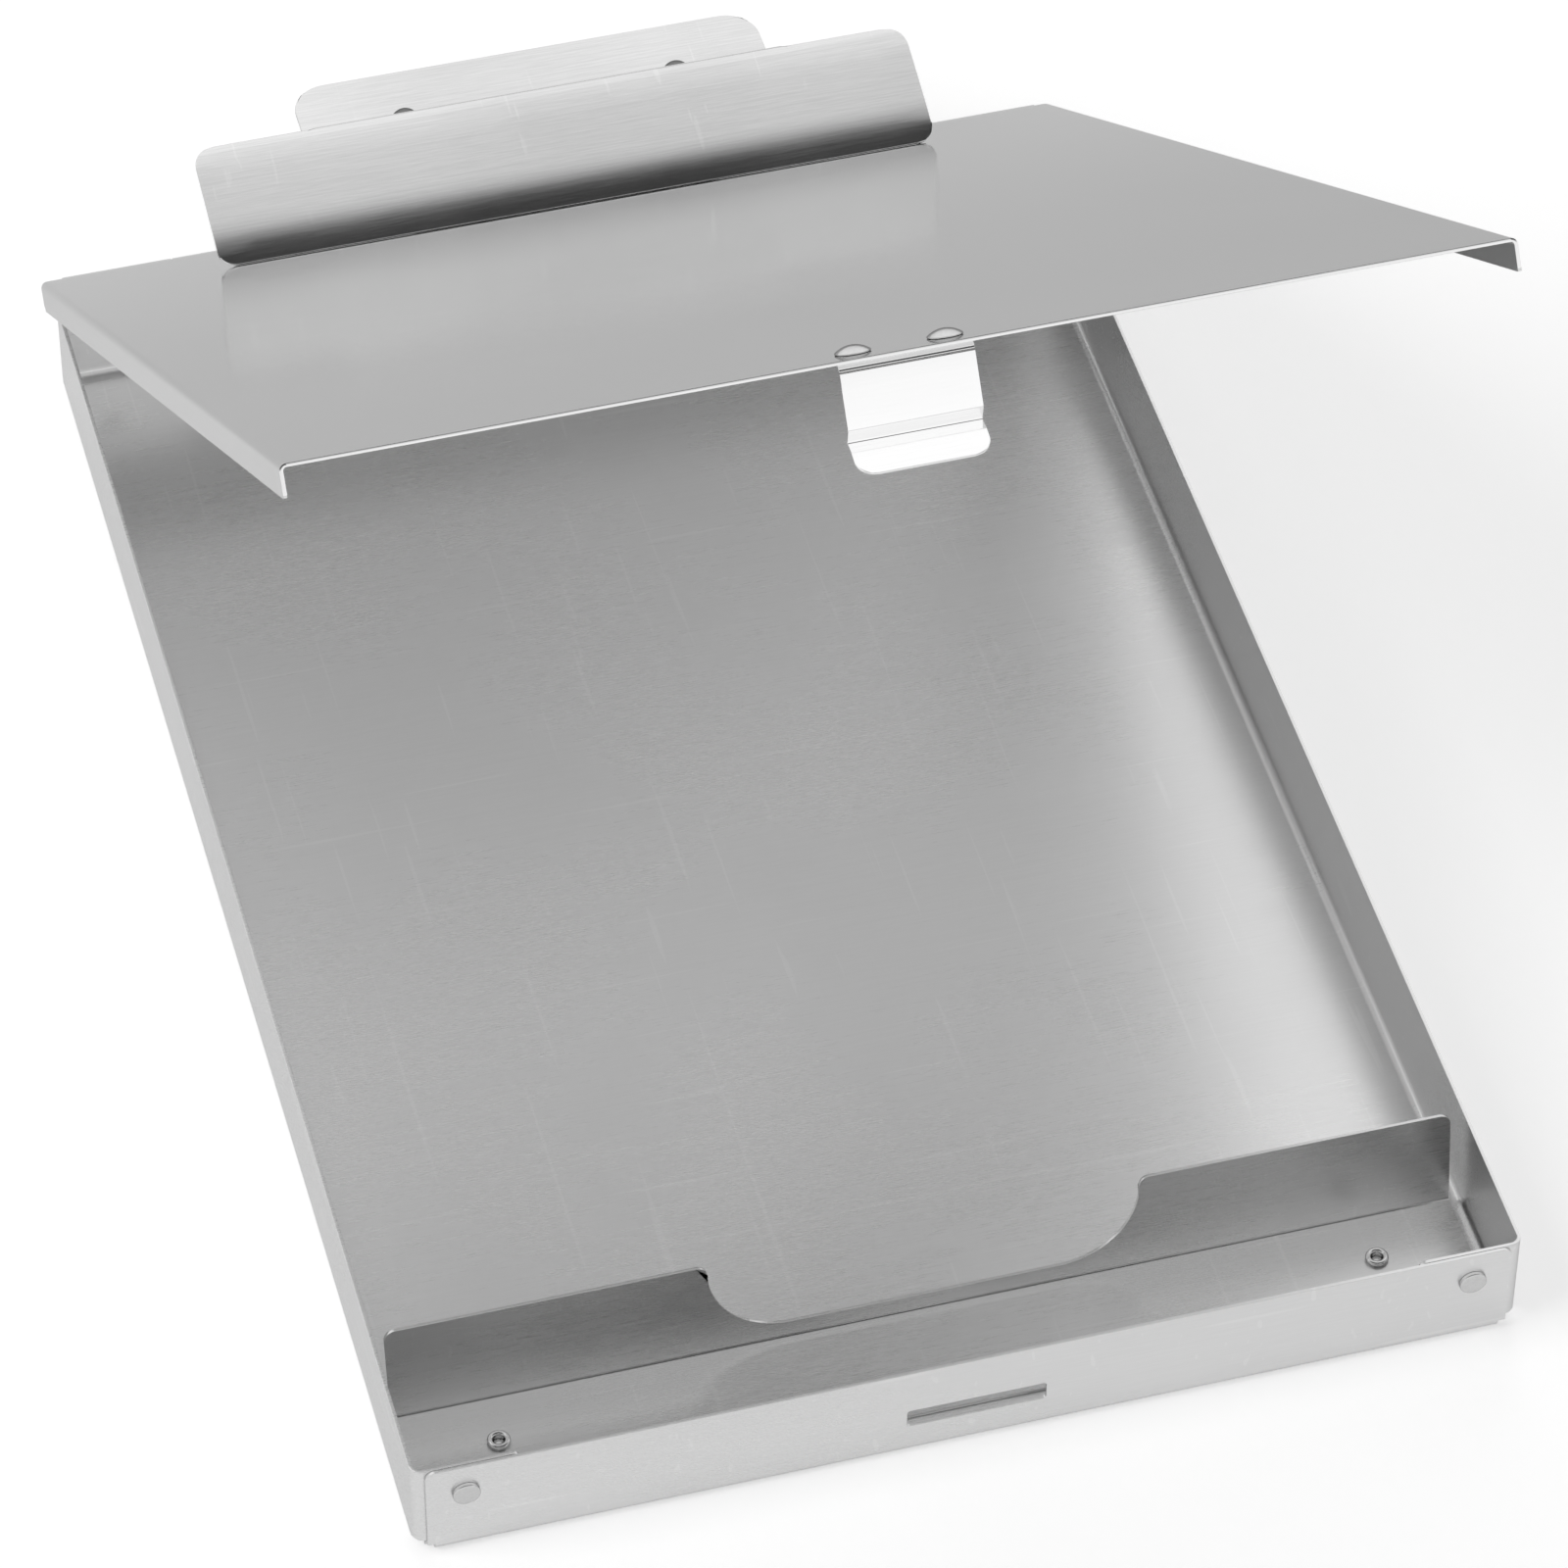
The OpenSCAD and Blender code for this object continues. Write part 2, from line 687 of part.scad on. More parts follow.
module tray_hinge_leaf() {
    head_room = corner_rivet_head / 2 + head_clearance;
    color("LightGray")
        difference() {
            union() {
                translate([hinge_x + knuckle_gap, leaf_y, tray_leaf_z])
                    cube([hinge_length - 2 * knuckle_gap, leaf_sheet, tray_leaf_top - tray_leaf_z]);
                for (i = [0:2:knuckle_count - 1])
                    translate([hinge_x + i * knuckle_pitch + knuckle_gap / 2, leaf_y, tray_leaf_top - root])
                        cube([knuckle_pitch - knuckle_gap, leaf_sheet, axis_z - tray_leaf_top + root]);
                knuckles(0);
            }
            hinge_bore();
            leaf_rivet_places()
                cylinder(r = leaf_rivet_shank / 2 + seat, h = through, center = true, $fn = 40);
            for (side = [-1, 1])
                translate([side * corner_rivet_x, half_l, corner_rivet_z])
                    rotate([90, 0, 0])
                        cylinder(r = head_room, h = through, center = true, $fn = 48);
        }
}

module tray_leaf_rivets() {
    color("Gainsboro")
        leaf_rivet_places() {
            rod(leaf_rivet_shank / 2, -tray_sheet - seat - eps, leaf_sheet + 2 * seat + eps);
            translate([0, 0, leaf_sheet + 2 * seat])
                flat_head(leaf_rivet_head, leaf_rivet_rise);
            translate([0, 0, -tray_sheet - seat - leaf_rivet_rise])
                cylinder(r = leaf_rivet_head / 2 - tail_inset, h = leaf_rivet_rise, $fn = 40);
        }
}

module hinge_pin() {
    color("DimGray")
        translate([hinge_x, axis_y, axis_z])
            rotate([0, 90, 0])
                cylinder(r = pin_radius, h = hinge_length, $fn = 48);
}

module lid_hinge_leaf() {
    leaf_top = lid_under - seat;
    leaf_rear = lid_rear_y - leaf_setback;
    leaf_low = leaf_top - leaf_sheet;
    leaf_reach = half_w - tray_sheet - leaf_side_gap;
    leaf_left = max(hinge_x + knuckle_gap, -leaf_reach);
    leaf_right = min(hinge_x + hinge_length - knuckle_gap, leaf_reach);
    color("LightGray")
        opened()
            difference() {
                union() {
                    translate([leaf_left, leaf_rear - lid_leaf_depth, leaf_low])
                        cube([leaf_right - leaf_left, lid_leaf_depth, leaf_sheet]);
                    for (i = [1:2:knuckle_count - 1])
                        translate([hinge_x + i * knuckle_pitch + knuckle_gap / 2, leaf_rear - root, leaf_low])
                            cube([knuckle_pitch - knuckle_gap, axis_y - leaf_rear, leaf_sheet]);
                    knuckles(1);
                }
                hinge_bore();
                base_rivet_places()
                    cylinder(r = base_rivet_shank / 2 + seat, h = through, center = true, $fn = 40);
            }
}

// Side flange of the lid, cut back at its lower rear corner.
module lid_flange(side) {
    flange_x = lid_shift + side * (lid_width / 2 - lid_sheet / 2);
    translate([flange_x - lid_sheet / 2, 0, 0])
        rotate([90, 0, 90])
            linear_extrude(height = lid_sheet)
                polygon([
                    [lid_front_y, lid_top - lid_bend],
                    [lid_front_y, lid_top - flange_depth],
                    [lid_rear_y - flange_chamfer, lid_top - flange_depth],
                    [lid_rear_y, lid_top - flange_depth + flange_chamfer],
                    [lid_rear_y, lid_top - lid_bend]
                ]);
}

module lid_shell() {
    plate_w = lid_width - 2 * lid_bend;
    lid_mid_y = (lid_front_y + lid_rear_y) / 2;
    fold_x = lid_width / 2 - lid_bend;
    color("Silver")
        opened()
            difference() {
                union() {
                    translate([lid_shift - plate_w / 2, lid_front_y, lid_under])
                        cube([plate_w, lid_length, lid_sheet]);
                    for (side = [-1, 1]) {
                        lid_flange(side);
                        translate([lid_shift + side * fold_x, lid_mid_y, lid_top - lid_bend])
                            rotate([0, 180, 90])
                                fold(lid_length, lid_bend, lid_sheet, -side);
                    }
                }
                latch_rivet_places()
                    cylinder(r = latch_rivet_shank / 2 + seat, h = through, center = true, $fn = 40);
                base_rivet_places()
                    cylinder(r = base_rivet_shank / 2 + seat, h = through, center = true, $fn = 40);
            }
}

// Places on the lid's upper face, laid out closed.
module latch_rivet_places() {
    for (side = [-1, 1])
        translate([latch_shift + side * latch_rivet_pitch / 2, lid_front_y + latch_rivet_y, lid_top])
            children();
}

module base_rivet_places() {
    for (side = [-1, 1])
        translate([clip_shift + side * base_rivet_pitch / 2, lid_rear_y - base_rivet_s, lid_top])
            children();
}

module latch_foot_strip() {
    color("WhiteSmoke")
        opened()
            difference() {
                union() {
                    translate([latch_shift - latch_width / 2, latch_bend_y, foot_top - latch_sheet])
                        cube([latch_width, latch_foot, latch_sheet]);
                    translate([latch_shift, latch_bend_y, latch_bend_z])
                        rotate([180, 0, 0])
                            fold(latch_width, latch_bend, latch_sheet, 1);
                }
                latch_rivet_places()
                    cylinder(r = latch_rivet_shank / 2 + seat, h = through, center = true, $fn = 40);
            }
}

// Direction square to the run from place i - 1 to place i of a path.
function run_normal(path, i) =
    let (run = path[i] - path[i - 1])
    [run[1], -run[0]] / norm(run);

// Path moved sideways by d, with mitred corners.
function moved_path(path, d) = [
    for (i = [0:len(path) - 1])
        let (
            before = run_normal(path, max(i, 1)),
            after = run_normal(path, min(i + 1, len(path) - 1))
        )
        path[i] + d * (before + after) / (1 + before * after)
];

function reversed(list) = [for (i = [len(list) - 1:-1:0]) list[i]];

// Middle line of the blade: straight run, ridge towards the slot, flared lip.
blade_line = [
    [0, latch_bend_z - latch_flex_gap],
    [0, lid_top - ridge_start],
    [ridge_depth, lid_top - ridge_crest],
    [0, lid_top - ridge_end],
    [-lip_reach, lid_top - lip_end]
];

module blade_profile() {
    half = latch_sheet / 2;
    polygon(concat(moved_path(blade_line, half), reversed(moved_path(blade_line, -half))));
}

module latch_blade() {
    color("WhiteSmoke")
        opened()
            intersection() {
                translate([latch_shift, flex_y, 0])
                    across(latch_width)
                        blade_profile();
                translate([latch_shift, flex_y - through, lid_top - lip_end - latch_sheet])
                    upright(0, 2 * through)
                        topped_outline_down(latch_width, lip_end, lip_corner);
            }
}

// Outline with round lower corners, base on the X axis.
module topped_outline_down(width, height, radius) {
    translate([0, height])
        mirror([0, 1])
            topped_outline(width, height, radius);
}

module latch_rivets() {
    color("Gainsboro")
        opened()
            latch_rivet_places() {
                translate([0, 0, seat])
                    dome(latch_rivet_head, latch_rivet_rise);
                rod(latch_rivet_shank / 2, -lid_sheet - latch_sheet - 2 * seat - shank_end, seat + eps);
            }
}

// Straight slice of a bent sheet's side profile, the sheet on the left of its heading.
module sheet_run(p, q, heading, sheet) {
    nx = sheet * cos(heading + 90);
    ny = sheet * sin(heading + 90);
    polygon([p, q, [q[0] + nx, q[1] + ny], [p[0] + nx, p[1] + ny]]);
}

// The same slice a hair longer at both ends, so that it laps into the curve it meets.
module lapped_run(p, q, heading, sheet) {
    sheet_run(ahead(p, heading, -run_lap), ahead(q, heading, run_lap), heading, sheet);
}

// Pie slice between two headings around a centre, used to cut a ring.
module ring_slice(radius, a0, a1) {
    reach = 2 * radius;
    am = (a0 + a1) / 2;
    polygon([
        [0, 0],
        [reach * cos(a0), reach * sin(a0)],
        [reach * cos(am), reach * sin(am)],
        [reach * cos(a1), reach * sin(a1)]
    ]);
}

module clip_curve(centre, outer, inner, a0, a1) {
    translate(centre)
        intersection() {
            difference() {
                circle(r = outer, $fn = 144);
                circle(r = inner, $fn = 144);
            }
            ring_slice(outer, a0, a1);
        }
}

module clip_profile() {
    lapped_run(ahead(jaw_tip, jaw_heading, -clip_sheet_t), jaw_head, jaw_heading, clip_sheet_t);
    clip_curve(crest_centre, crest_radius, crest_radius - clip_sheet_t, jaw_heading - 90, shelf_heading - 90);
    lapped_run(crest_end, shelf_end, shelf_heading, clip_sheet_t);
    clip_curve(bend_centre, lever_bend + clip_sheet_t, lever_bend, shelf_heading + 90, lever_heading + 90);
    lapped_run(lever_start, lever_tip, lever_heading, clip_sheet_t);
}

// Flat blank seen square to a run, used to round its two free corners.
module corner_trim(p, heading, width, length, radius) {
    translate([0, p[0], p[1]])
        rotate([heading - 180, 0, 0])
            translate([0, 0, -through / 2])
                linear_extrude(height = through)
                    mirror([0, 1])
                        topped_outline(width, length, radius);
}

// The jaw seen from the front, with its lower corners and its shoulders rounded.
module jaw_outline() {
    jaw_height = crest_top - jaw_gap + shoulder_over;
    intersection() {
        topped_outline(jaw_width, jaw_height, jaw_shoulder);
        topped_outline_down(jaw_width, jaw_height, jaw_corner);
    }
}

module clip_sheet() {
    color("LightGray")
        on_lid()
            difference() {
                intersection() {
                    across(jaw_width)
                        clip_profile();
                    union() {
                        translate([0, cut, jaw_gap])
                            rotate([90, 0, 0])
                                linear_extrude(height = cut - crest_centre[0])
                                    jaw_outline();
                        translate([-lever_width / 2, shelf_end[0] - lever_bend, 0])
                            cube([lever_width, jaw_head[0] - shelf_end[0] + lever_bend, cut]);
                        corner_trim(lever_start, lever_heading, lever_width, lever_length, lever_corner);
                    }
                }
                shelf_rivet_places()
                    cylinder(r = shelf_rivet_shank / 2 + seat, h = through, center = true, $fn = 40);
            }
}

// Places on the upper face of the shelf, square to it.
module shelf_rivet_places() {
    for (side = [-1, 1])
        translate([side * shelf_rivet_pitch / 2, shelf_rivet_at[0], shelf_rivet_at[1]])
            rotate([shelf_slope, 0, 0])
                children();
}

// Saddle riveted under the shelf: a plate with two ears down to the pin.
module clip_saddle() {
    plate_gap = clip_sheet_t + seat;
    ear_x = saddle_span / 2 - ear_sheet;
    color("DarkGray")
        on_lid()
            difference() {
                union() {
                    translate([0, crest_end[0], crest_end[1]])
                        rotate([shelf_slope, 0, 0])
                            translate([-saddle_span / 2, -shelf_length, -plate_gap - ear_sheet])
                                cube([saddle_span, shelf_length - saddle_setback, ear_sheet]);
                    for (side = [-1, 1])
                        translate([side > 0 ? ear_x : -ear_x - ear_sheet, 0, 0])
                            rotate([90, 0, 90])
                                linear_extrude(height = ear_sheet)
                                    saddle_ear();
                }
                translate([0, pivot_s, pivot_n])
                    rotate([0, 90, 0])
                        cylinder(r = clip_bore, h = 2 * saddle_span, center = true, $fn = 40);
                shelf_rivet_places()
                    cylinder(r = shelf_rivet_shank / 2 + seat, h = through, center = true, $fn = 40);
            }
}

module saddle_ear() {
    drop = clip_sheet_t + seat + ear_sheet / 2;
    top = ahead(crest_end, shelf_heading + 90, drop);
    top_front = ahead(top, shelf_heading, saddle_setback + ear_inset);
    top_rear = ahead(top, shelf_heading, shelf_length - ear_inset);
    union() {
        translate([pivot_s, pivot_n])
            circle(r = ear_radius, $fn = 48);
        polygon([
            [pivot_s - ear_radius, pivot_n],
            [pivot_s + ear_radius, pivot_n],
            top_front,
            top_rear
        ]);
    }
}

module shelf_rivets() {
    stack = clip_sheet_t + ear_sheet + 2 * seat;
    color("Gainsboro")
        on_lid()
            shelf_rivet_places() {
                translate([0, 0, seat])
                    dome(shelf_rivet_head, shelf_rivet_rise);
                rod(shelf_rivet_shank / 2, -stack - seat - eps, seat + eps);
                translate([0, 0, -stack - tail_rise])
                    cylinder(r = shelf_rivet_shank / 2 + tail_inset, h = tail_rise - seat, $fn = 40);
            }
}

// Base riveted to the lid: a plate with two upright ears for the pin.
module clip_base() {
    color("DarkGray")
        on_lid()
            difference() {
                union() {
                    translate([-base_span / 2, base_s, seat])
                        cube([base_span, base_depth, ear_sheet]);
                    for (side = [-1, 1])
                        translate([side > 0 ? base_span / 2 - ear_sheet : -base_span / 2, 0, 0])
                            rotate([90, 0, 90])
                                linear_extrude(height = ear_sheet)
                                    base_ear();
                }
                translate([0, pivot_s, pivot_n])
                    rotate([0, 90, 0])
                        cylinder(r = clip_bore, h = 2 * base_span, center = true, $fn = 40);
                for (side = [-1, 1])
                    translate([side * base_rivet_pitch / 2, base_rivet_s, 0])
                        cylinder(r = base_rivet_shank / 2 + seat, h = through, center = true, $fn = 40);
            }
}

module base_ear() {
    union() {
        translate([pivot_s, pivot_n])
            circle(r = ear_radius, $fn = 48);
        polygon([
            [base_s, seat + eps],
            [base_s + base_depth - ear_foot, seat + eps],
            [pivot_s + ear_radius, pivot_n],
            [pivot_s - ear_radius, pivot_n]
        ]);
    }
}

// Base rivets hold base, lid and lid leaf together: head above, tail below.
module base_rivets() {
    plate_top = ear_sheet + 2 * seat;
    leaf_under = -lid_sheet - leaf_sheet - 2 * seat;
    color("Gainsboro")
        opened()
            base_rivet_places() {
                rod(base_rivet_shank / 2, leaf_under - eps, plate_top + eps);
                translate([0, 0, plate_top])
                    flat_head(base_rivet_head, base_rivet_rise);
                translate([0, 0, leaf_under - tail_rise])
                    cylinder(r = base_rivet_shank / 2 + tail_inset, h = tail_rise, $fn = 40);
            }
}

module clip_pin() {
    color("DimGray")
        on_lid()
            translate([-clip_pin_length / 2, pivot_s, pivot_n])
                rotate([0, 90, 0])
                    cylinder(r = clip_pin_radius, h = clip_pin_length, $fn = 40);
}

// Centre line of one spring: a lower leg, the coils and an upper leg.
leg_low_angle = 212;
leg_high_angle = 170;
coil_start = leg_low_angle + 90;
coil_sweep = 360 * coil_turns + leg_high_angle - 90 - coil_start + 360;
coil_steps = round(coil_sweep / 360 * rings_per_turn);

// Point on the coils for a share t between 0 and 1, axis along X.
function coil_point(t) = [
    t * coil_sweep / 360 * coil_pitch,
    pivot_s + coil_radius * cos(coil_start + t * coil_sweep),
    pivot_n + coil_radius * sin(coil_start + t * coil_sweep)
];

spring_line = concat(
    [coil_point(0) + [0, leg_length * cos(leg_low_angle), leg_length * sin(leg_low_angle)]],
    [for (i = [0:coil_steps]) coil_point(i / coil_steps)],
    [coil_point(1) + [0, leg_length * cos(leg_high_angle), leg_length * sin(leg_high_angle)]]
);

function unit(v) = v / norm(v);
function run_of(path, i) =
    unit(path[min(i + 1, len(path) - 1)] - path[max(i - 1, 0)]);

// Ring of points around the wire at place i; the first side axis stays near X.
function wire_ring(path, i) =
    let (
        run = run_of(path, i),
        side = unit([1, 0, 0] - run * run[0]),
        up = cross(run, side)
    )
    [for (k = [0:wire_sides - 1])
        path[i] + wire_radius * (cos(360 * k / wire_sides) * side + sin(360 * k / wire_sides) * up)];

// Two triangles between one ring and the next, at side k.
function wall_faces(first, k) =
    let (n = (k + 1) % wire_sides, next = first + wire_sides)
    [[first + k, first + n, next + n], [first + k, next + n, next + k]];

module swept_wire(path) {
    rings = len(path);
    points = [for (i = [0:rings - 1]) for (p = wire_ring(path, i)) p];
    walls = [
        for (i = [0:rings - 2])
            for (k = [0:wire_sides - 1])
                for (face = wall_faces(i * wire_sides, k))
                    face
    ];
    first_cap = [[for (k = [wire_sides - 1:-1:0]) k]];
    last_cap = [[for (k = [0:wire_sides - 1]) (rings - 1) * wire_sides + k]];
    polyhedron(points = points, faces = concat(walls, first_cap, last_cap), convexity = 8);
}

// Least gap between centre-line points that lie at least half a turn apart.
spring_gap = min([
    for (i = [0:len(spring_line) - 1])
        for (j = [i + rings_per_turn / 2:1:len(spring_line) - 1])
            norm(spring_line[i] - spring_line[j]) - 2 * wire_radius
]);
echo(spring_gap = spring_gap);

module clip_springs() {
    color("DimGray")
        on_lid()
            for (side = [-1, 1])
                mirror([side > 0 ? 0 : 1, 0, 0])
                    translate([coil_x, 0, 0])
                        swept_wire(spring_line);
}

tray_shell();
front_corner_rivets();
rear_corner_rivets();
pen_divider();
divider_rivets();
tray_hinge_leaf();
tray_leaf_rivets();
hinge_pin();
lid_hinge_leaf();
lid_shell();
latch_foot_strip();
latch_blade();
latch_rivets();
clip_base();
base_rivets();
clip_pin();
clip_springs();
clip_sheet();
clip_saddle();
shelf_rivets();
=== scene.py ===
"""Storage clipboard box in bare sheet metal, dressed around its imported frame.

Every folded piece is made as a metalworker makes it: a flat blank with its holes and
corners is cut first, and the blank is then bent along its fold lines. Turned pieces such
as rivets and pins are spun from a side profile. Sizes are in millimetres, in the frame of
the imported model, and become metres when a mesh is written. The studio is in metres.
"""

import logging
import math
from dataclasses import dataclass
from enum import Enum
from typing import Callable, Iterable, Sequence

import bmesh
import bpy
from mathutils import Matrix, Vector
from mathutils.geometry import delaunay_2d_cdt


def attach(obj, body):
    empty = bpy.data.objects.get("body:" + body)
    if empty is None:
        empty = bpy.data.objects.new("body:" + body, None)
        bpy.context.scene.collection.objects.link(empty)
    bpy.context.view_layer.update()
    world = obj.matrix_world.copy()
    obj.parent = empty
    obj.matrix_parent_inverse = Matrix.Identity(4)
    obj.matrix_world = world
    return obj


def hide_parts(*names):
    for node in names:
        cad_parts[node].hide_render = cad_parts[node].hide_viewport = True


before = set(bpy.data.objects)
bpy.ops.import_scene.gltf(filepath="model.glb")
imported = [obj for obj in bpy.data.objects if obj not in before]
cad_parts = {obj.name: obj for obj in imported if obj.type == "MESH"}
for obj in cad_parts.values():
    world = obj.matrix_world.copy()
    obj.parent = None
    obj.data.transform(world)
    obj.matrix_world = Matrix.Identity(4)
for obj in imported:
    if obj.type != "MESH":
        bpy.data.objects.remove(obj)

LOG = logging.getLogger("clipboard_box")
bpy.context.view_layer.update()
MM = 0.001
TINY = 1e-6
MARGIN = 0.001
ENDLESS = 1e6
WAYS = (-1, 1)
SMOOTH_ANGLE = 32.0
BEVEL_ANGLE = 50.0
BEVEL_SEGMENTS = 2
Flat = tuple[float, float]
Corner = tuple[float, float, float]
Fold = Callable[[float, float], tuple[Vector, Vector]]


class Side(Enum):
    """Side of a fold path on which the sheet lies, seen along the path."""

    LEFT = 1.0
    RIGHT = -1.0


class Grain(Enum):
    """Direction of the brushing, as the noise stretch along X, Y and Z."""

    ACROSS = (32.0, 1500.0, 1500.0)
    ALONG = (1500.0, 32.0, 1500.0)
    NONE = (300.0, 300.0, 300.0)


# Fixed places


@dataclass(frozen=True)
class Layout:
    """Sizes and places that several pieces share, in millimetres."""

    half_width: float = 114.7
    half_length: float = 174.3
    height: float = 24.7
    rear_height: float = 23.2
    sheet: float = 0.8
    seat: float = 0.04
    hinge_y: float = 177.6
    hinge_z: float = 23.47
    hinge_x: float = -111.9
    hinge_length: float = 228.6
    lid_angle: float = 36.48
    lid_top: float = 26.65
    lid_rear_y: float = 174.3
    lid_front_y: float = -178.1
    lid_shift: float = 1.3
    clip_shift: float = 1.5
    latch_shift: float = 1.55
    pivot_s: float = 9.0
    pivot_n: float = 12.0
    corner_rivet_x: float = 104.0
    corner_rivet_z: float = 17.2
    corner_rivet_head: float = 5.6
    leaf_rivet_x: tuple[float, ...] = (-84.0, -28.0, 28.0, 84.0)
    leaf_rivet_z: float = 12.3
    divider_rivet: Flat = (92.2, -151.8)
    divider_ring: float = 4.8
    base_rivet_x: float = 22.0
    base_rivet_s: float = 19.5
    latch_rivet_s: float = 7.7
    latch_rivet_pitch: float = 17.7
    thin_shank: float = 3.0
    thick_shank: float = 3.2

    def bore(self, diameter: float) -> float:
        """Gives the radius of the hole for a shank or a ring."""
        return diameter / 2 + self.seat

    def opened(self, point: Vector) -> Vector:
        """Turns a point of the closed lid about the hinge to where it stands open.

        Args:
            point: the point with the lid closed.

        Returns:
            The point with the lid open.
        """
        turn = Matrix.Rotation(-math.radians(self.lid_angle), 3, "X")
        hinge = Vector((0.0, self.hinge_y, self.hinge_z))
        return turn @ (point - hinge) + hinge

    def opened_face(self, place: Vector, into: Vector) -> tuple[Vector, Vector]:
        """Turns a place and a direction of the closed lid to where they are when it is open."""
        return self.opened(place), self.opened(place + into) - self.opened(place)

    def on_lid(self, x: float, s: float, n: float) -> Vector:
        """Gives the place of a point on the open lid.

        Args:
            x: distance from the middle of the clip.
            s: distance from the rear edge of the lid towards its front edge.
            n: height above the upper face of the lid.

        Returns:
            The point in the frame of the model.
        """
        return self.opened(Vector((self.clip_shift + x, self.lid_rear_y - s, self.lid_top + n)))


PLAN = Layout()


# Fold paths


@dataclass(frozen=True)
class Bend:
    """A straight run followed by a curve.

    The turn is in degrees, to the left if positive, and the radius is that of the face
    which the path follows.
    """

    run: float
    turn: float = 0.0
    radius: float = 0.0

    @property
    def arc(self) -> float:
        """Length of the curved part."""
        return abs(math.radians(self.turn)) * self.radius


@dataclass
class FoldPath:
    """Side profile of a bent sheet, walked along one of its faces."""

    start: Flat
    heading: float
    bends: Sequence[Bend]
    side: Side = Side.LEFT
    step: float = 9.0

    def _walk(self) -> Iterable[tuple[float, float, float, float, Bend]]:
        """Goes through the bends.

        Returns:
            For each bend the length before it, the place (p, q), the heading and the bend.
        """
        t, (p, q), a = 0.0, self.start, math.radians(self.heading)
        for bend in self.bends:
            yield t, p, q, a, bend
            t += bend.run + bend.arc
            p, q, a = self._advance(p, q, a, bend, bend.run + bend.arc)
        yield t, p, q, a, Bend(ENDLESS)

    @staticmethod
    def _advance(p: float, q: float, a: float, bend: Bend, t: float) -> Corner:
        """Moves a place and heading along one bend.

        Args:
            p: first part of the place.
            q: second part of the place.
            a: heading in radians.
            bend: the bend.
            t: length to go.

        Returns:
            The new place and heading.
        """
        run = min(t, bend.run) if bend.arc else t
        p, q = p + run * math.cos(a), q + run * math.sin(a)
        if t > bend.run and bend.arc:
            way = 1.0 if bend.turn > 0 else -1.0
            b = a + way * (t - bend.run) / bend.radius
            p += way * bend.radius * (math.sin(b) - math.sin(a))
            q -= way * bend.radius * (math.cos(b) - math.cos(a))
            a = b
        return p, q, a

    @property
    def length(self) -> float:
        """Whole length of the path."""
        return sum(bend.run + bend.arc for bend in self.bends)

    def lines(self) -> list[float]:
        """Finds where a blank needs a line so that it bends smoothly.

        Returns:
            Lengths along the path.
        """
        found = []
        for t, _, _, _, bend in self._walk():
            if bend.arc:
                count = max(2, math.ceil(abs(bend.turn) / self.step))
                found += [t + bend.run + bend.arc * i / count for i in range(count + 1)]
        return found

    def at(self, t: float) -> tuple[float, float, float, float]:
        """Gives the place at a length and the unit vector into the sheet.

        Args:
            t: length along the path, also before its start or past its end.

        Returns:
            Place (p, q) and direction (np, nq).
        """
        for t0, p, q, a, bend in self._walk():
            if bend.run >= ENDLESS or t <= t0 + bend.run + bend.arc:
                p, q, a = self._advance(p, q, a, bend, t - t0)
                turn = a + self.side.value * math.pi / 2
                return p, q, math.cos(turn), math.sin(turn)
        raise ValueError("the path has no end")


def through(points: Sequence[Flat], radii: Sequence[float]) -> tuple[Flat, float, list[Bend]]:
    """Turns a polyline into a start, a heading and bends, with its corners rounded.

    Args:
        points: corners of the polyline.
        radii: radius at each inner corner.

    Returns:
        Start point, heading in degrees and the list of bends.
    """
    pairs = list(zip(points, points[1:]))
    runs = [math.dist(a, b) for a, b in pairs]
    aims = [math.degrees(math.atan2(b[1] - a[1], b[0] - a[0])) for a, b in pairs]
    bends, used = [], 0.0
    for i, radius in enumerate(radii):
        turn = (aims[i + 1] - aims[i] + 180.0) % 360.0 - 180.0
        setback = radius * math.tan(math.radians(abs(turn)) / 2)
        bends.append(Bend(runs[i] - used - setback, turn, radius))
        used = setback
    bends.append(Bend(runs[-1] - used))
    return points[0], aims[0], bends


def jog(depth: float, tilt: float, bow: float) -> Flat:
    """Works out a double bend that moves a sheet sideways.

    Args:
        depth: sideways offset.
        tilt: angle of each bend in degrees.
        bow: radius of each bend.

    Returns:
        The straight run between the bends, and the length that the jog takes ahead.
    """
    a = math.radians(tilt)
    slant = (depth - 2 * bow * (1 - math.cos(a))) / math.sin(a)
    return slant, 2 * bow * math.sin(a) + slant * math.cos(a)


def bent_along(path: FoldPath, shift: float = 0.0, on_lid: bool = False) -> Fold:
    """Gives the fold of a sheet that bends only in its side profile.

    Args:
        path: side profile in Y and Z.
        shift: place of the blank's middle along X.
        on_lid: whether the sheet turns open with the lid.

    Returns:
        The fold.
    """

    def fold(u: float, v: float) -> tuple[Vector, Vector]:
        """Bends a point of the blank.

        Args:
            u: place across the blank.
            v: place along the blank.

        Returns:
            The outer face's place and the direction into the sheet.
        """
        y, z, ny, nz = path.at(v)
        place, into = Vector((shift + u, y, z)), Vector((0, ny, nz))
        return PLAN.opened_face(place, into) if on_lid else (place, into)

    return fold


# Flat blanks


def arc_points(centre: Flat, radius: float, a0: float, a1: float, count: int) -> list[Flat]:
    """Gives points on an arc from angle a0 to a1 in degrees."""
    angles = [math.radians(a0 + (a1 - a0) * i / count) for i in range(count + 1)]
    return [(centre[0] + radius * math.cos(a), centre[1] + radius * math.sin(a)) for a in angles]


